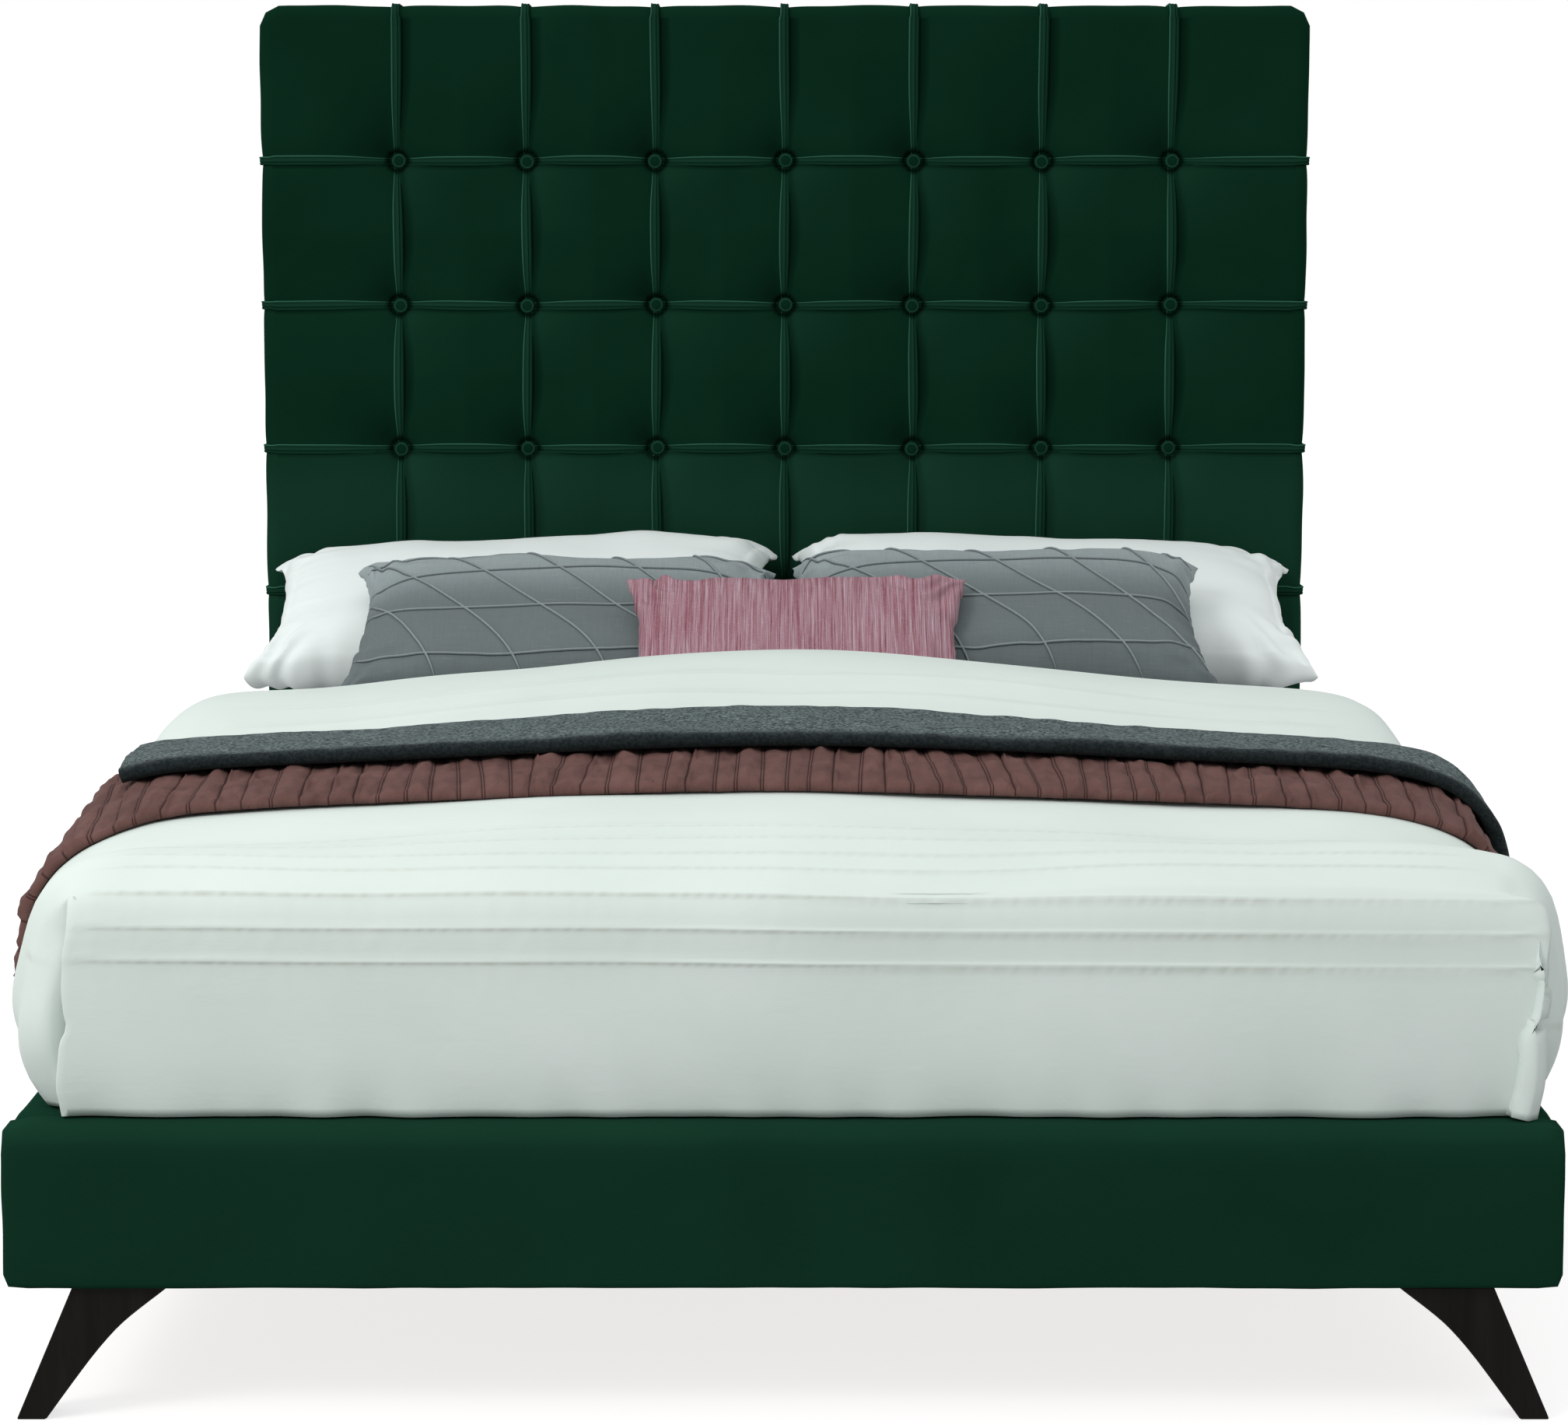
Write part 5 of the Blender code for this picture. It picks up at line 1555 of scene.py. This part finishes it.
# %% White pillows
WHITE = {"left": Pillow(-0.4105, 0.4045, (0.60, 0.585), (0.99, 0.715), 0.105, 0.06),
         "right": Pillow(0.406, 0.402, (0.60, 0.585), (0.99, 0.715), 0.105, 0.06)}
for seed, (label, form) in enumerate(WHITE.items()):
    pillow = pillow_mesh("white_pillow_%s_case" % label, form, PILLOW_COTTON, 104, 64, 0.004)
    inflate(pillow, 4.0, 0.010, -0.035)
    inner = 1.0 if label == "left" else -1.0
    crease(pillow, form, 200 + 10 * seed, 0.0042, 0.0042,
           lambda u, v, s=inner: smooth((v + 0.3) / 1.0) * (0.010 + 0.022 * smooth((s * u + 0.2) / 1.2)))
    if label == "right":
        points = read_points(pillow)
        u, v = form.share(points)
        for place in (-0.905, -0.855, -0.800):
            gap = (u - place - 0.012 * v) * form.half
            points[:, 2] += 0.0035 * np.exp(-(gap / 0.0042) ** 2) * (v > -0.9)
        write_points(pillow, points)
    finish_pillow(pillow, "white_pillow_" + label, "pillows")
print("white pillows", len(WHITE))

# %% [markdown]
# The grey pillows have covers of slubby linen with raised pin tucks: three run across, and
# a set of slanting ones crosses them. A tuck is a cord of cloth standing on the surface, so
# each is a thin tube laid along the pillow by casting rays on to it.


# %% Grey pillows and their tucks
def laid_tube(points, radius, sides=8):
    """Points and faces of a closed tube through points."""
    points = np.array(points)
    along = np.gradient(points, axis=0)
    along /= np.linalg.norm(along, axis=1)[:, None]
    up = np.array((0.0, -0.42, 0.91))
    side = np.cross(along, up)
    side /= np.linalg.norm(side, axis=1)[:, None]
    lift = np.cross(side, along)
    taper = np.minimum(1.0, np.minimum(np.arange(len(points)), np.arange(len(points))[::-1]) / 4.0 + 0.25)
    rings = []
    for k in range(sides):
        angle = 2.0 * math.pi * k / sides
        rings.append(points + (side * math.cos(angle) * 0.85 + lift * math.sin(angle)) * (radius * taper)[:, None])
    ring_points = np.stack(rings, axis=1).reshape(-1, 3)
    faces = grid_faces(len(points), sides, ring=True)
    faces.append(tuple(range(sides - 1, -1, -1)))
    faces.append(tuple(range(len(ring_points) - sides, len(ring_points))))
    return ring_points, faces


def tuck_lines(lean):
    """Lists of (across, along) shares: three level tucks and a set of slanting ones."""
    lines = []
    for level in (-0.74, -0.14, 0.42, 0.86):
        u = np.linspace(-0.955, 0.955, 90)
        lines.append((u, level + 0.035 * np.sin(2.6 * u + level) - 0.10 * np.abs(u) ** 6 * np.sign(level)))
    for start in np.arange(-1.30, 1.45, 0.375):
        v = np.linspace(-0.95, 0.95, 70)
        u = start + lean * (-0.40 * v - 0.05 * np.sin(2.2 * v + start))
        keep = np.abs(u) < 0.955
        if keep.sum() > 12:
            lines.append((u[keep], v[keep]))
    return lines


def tucks_on(name, pillow, form, lines, radius, finish):
    """Lay tubes along lines on the upper side of a pillow."""
    graph = bpy.context.evaluated_depsgraph_get()
    tree = BVHTree.FromObject(pillow, graph)
    points, faces, shade = [], [], []
    for u, v in lines:
        found = []
        for start in form.place(u, v, np.full(len(u), 0.30)):
            hit = tree.ray_cast(Vector(start), Vector(-form.normal))
            if hit[0] is not None:
                found.append(np.array(hit[0]) + np.array(form.normal) * radius * 0.45)
        if len(found) < 8:
            continue
        made, quads = laid_tube(found, radius)
        # painted shade on the sides and underside of each tube, least on its top
        shade += [0.85, 0.45, 0.15, 0.45, 0.85, 0.95, 0.95, 0.95] * len(found)
        faces += [tuple(k + len(points) for k in quad) for quad in quads]
        points += [tuple(p) for p in made]
    return face_out(piece(name, points, faces, finish, {"shade": shade}))


GREY = {"left": Pillow(-0.3265, 0.3225, (0.365, 0.589), (0.70, 0.745), 0.082, 0.02),
        "right": Pillow(0.319, 0.315, (0.365, 0.589), (0.70, 0.745), 0.082, 0.02)}
for seed, (label, form) in enumerate(GREY.items()):
    pillow = pillow_mesh("grey_pillow_%s_cover" % label, form, LINEN, 92, 60, 0.003)
    inflate(pillow, 4.0, 0.008, -0.03)
    crease(pillow, form, 300 + 10 * seed, 0.0038, 0.0026)
    paint_shade(pillow, form, -0.1, 0.75, 0.75)
    finish_pillow(pillow, "grey_pillow_" + label, "pillows")
    bpy.context.view_layer.update()
    tucks = tucks_on("grey_pillow_%s_tucks" % label, pillow, form, tuck_lines(1.0), 0.0024, LINEN)
    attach(tucks, "pillows")
print("grey pillows", len(GREY))

# %% [markdown]
# The small cushion in front is woven in fine stripes. Its corners are pinched into short
# ears, and creases fan out below them.

# %% The striped cushion
form = Pillow(0.018, 0.251, (0.24, 0.587), (0.472, 0.755), 0.048, 0.008)
cushion = pillow_mesh("lumbar_pillow_cover", form, STRIPE, 88, 48, 0.006)
inflate(cushion, 4.0, 0.006, -0.02)
crease(cushion, form, 400, 0.0030, 0.0050)
finish_pillow(cushion, "lumbar_pillow", "lumbar")
print("striped cushion made")

# %% [markdown]
# The back of the headboard is closed by a black cloth, folded under at its edge and stapled
# to the frame every few centimetres. Staples pull it, so it puckers between them, and its
# middle hangs a little slack between the posts.


# %% Backing cloth and staples
def backing_cloth():
    low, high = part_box("headboard_dust_cover")
    chamfer = 0.018
    across = spread_lines((), (), low.x, high.x, 0.011)
    up = spread_lines((), (), low.z, high.z, 0.011)
    x, z = np.meshgrid(across, up)
    over = np.abs(x) + z - (high.x + high.z - chamfer)
    cut = np.where(over > 0.0, over / 2.0, 0.0)
    x, z = x - np.sign(x) * cut, z - cut
    edge = np.minimum.reduce([high.x - np.abs(x), z - low.z, high.z - z])
    staple = 0.5 + 0.5 * np.cos(2.0 * math.pi * np.where(high.x - np.abs(x) < np.minimum(z - low.z, high.z - z),
                                                         z, x) / 0.055)
    pucker = 0.0009 * np.exp(-((edge - 0.016) / 0.022) ** 2) * (1.0 - staple)
    fold = 0.0009 * (edge < 0.0175)
    slack = 0.0010 * wander(x, z, 0.35, 500) * np.clip(edge / 0.1, 0.0, 1.0)
    y = high.y - 0.0011 + pucker * 0.8 + fold * 0.5 - np.abs(slack) * 0.6
    points = np.stack([x.ravel(), y.ravel(), z.ravel()], axis=1)
    obj = piece("backing_cloth", points, [tuple(reversed(f)) for f in grid_faces(len(up), len(across))], BACKING)
    skin = obj.modifiers.new("cloth_thickness", "SOLIDIFY")
    skin.thickness, skin.offset = 0.0006, -1.0
    return obj, low, high


backing_piece, low, high = backing_cloth()
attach(backing_piece, "frame")
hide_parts("headboard_dust_cover")


def staples():
    """Small wire bridges round the edge of the backing cloth."""
    spots = []
    for x in np.arange(-0.77, 0.771, 0.055):
        spots += [(x, high.z - 0.010, 0), (x, low.z + 0.010, 0)]
    for z in np.arange(low.z + 0.055, high.z - 0.04, 0.055):
        spots += [(high.x - 0.010, z, 1), (low.x + 0.010, z, 1)]
    pick = np.random.default_rng(9)
    points, faces = [], []
    for x, z, upright in spots:
        turn = (math.pi / 2.0 if upright else 0.0) + pick.uniform(-0.12, 0.12)
        wire = [(-0.0052, -0.0012), (-0.0050, 0.0004), (-0.0035, 0.0009), (0.0035, 0.0009), (0.0050, 0.0004),
                (0.0052, -0.0012)]
        path = [(x + d * math.cos(turn), high.y - 0.0003 + rise, z + d * math.sin(turn)) for d, rise in wire]
        made, quads = laid_tube(path, 0.0005, 6)
        faces += [tuple(k + len(points) for k in quad) for quad in quads]
        points += [tuple(p) for p in made]
    return face_out(piece("backing_staples", points, faces, ZINC)), len(spots)


wires, number = staples()
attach(wires, "frame")
print("staples", number)

# %% [markdown]
# The floor is a large pale sheet that runs on behind the bed. It glows a little, like the
# lit floor of a white studio, so only a faint shadow lies under the bed. Light that comes
# from below is part of the room's light already, so the floor gives none to the bed.

# %% The floor
def pale_floor():
    f = Finish("pale_floor", Specular_IOR_Level=0.0, Emission_Color=(1.0, 1.0, 1.0), Emission_Strength=0.72)
    return f.paint(f.mix(f.noise(2.0, 2.0), (0.40, 0.40, 0.40), (0.42, 0.42, 0.42)), 0.9)


reach = 40.0
floor = piece("studio_floor", [(-reach, -reach, -0.0005), (reach, -reach, -0.0005), (reach, reach, -0.0005),
                               (-reach, reach, -0.0005)], [(0, 1, 2, 3)], pale_floor())
floor.visible_diffuse = False
print("floor", 2 * reach, "m wide")
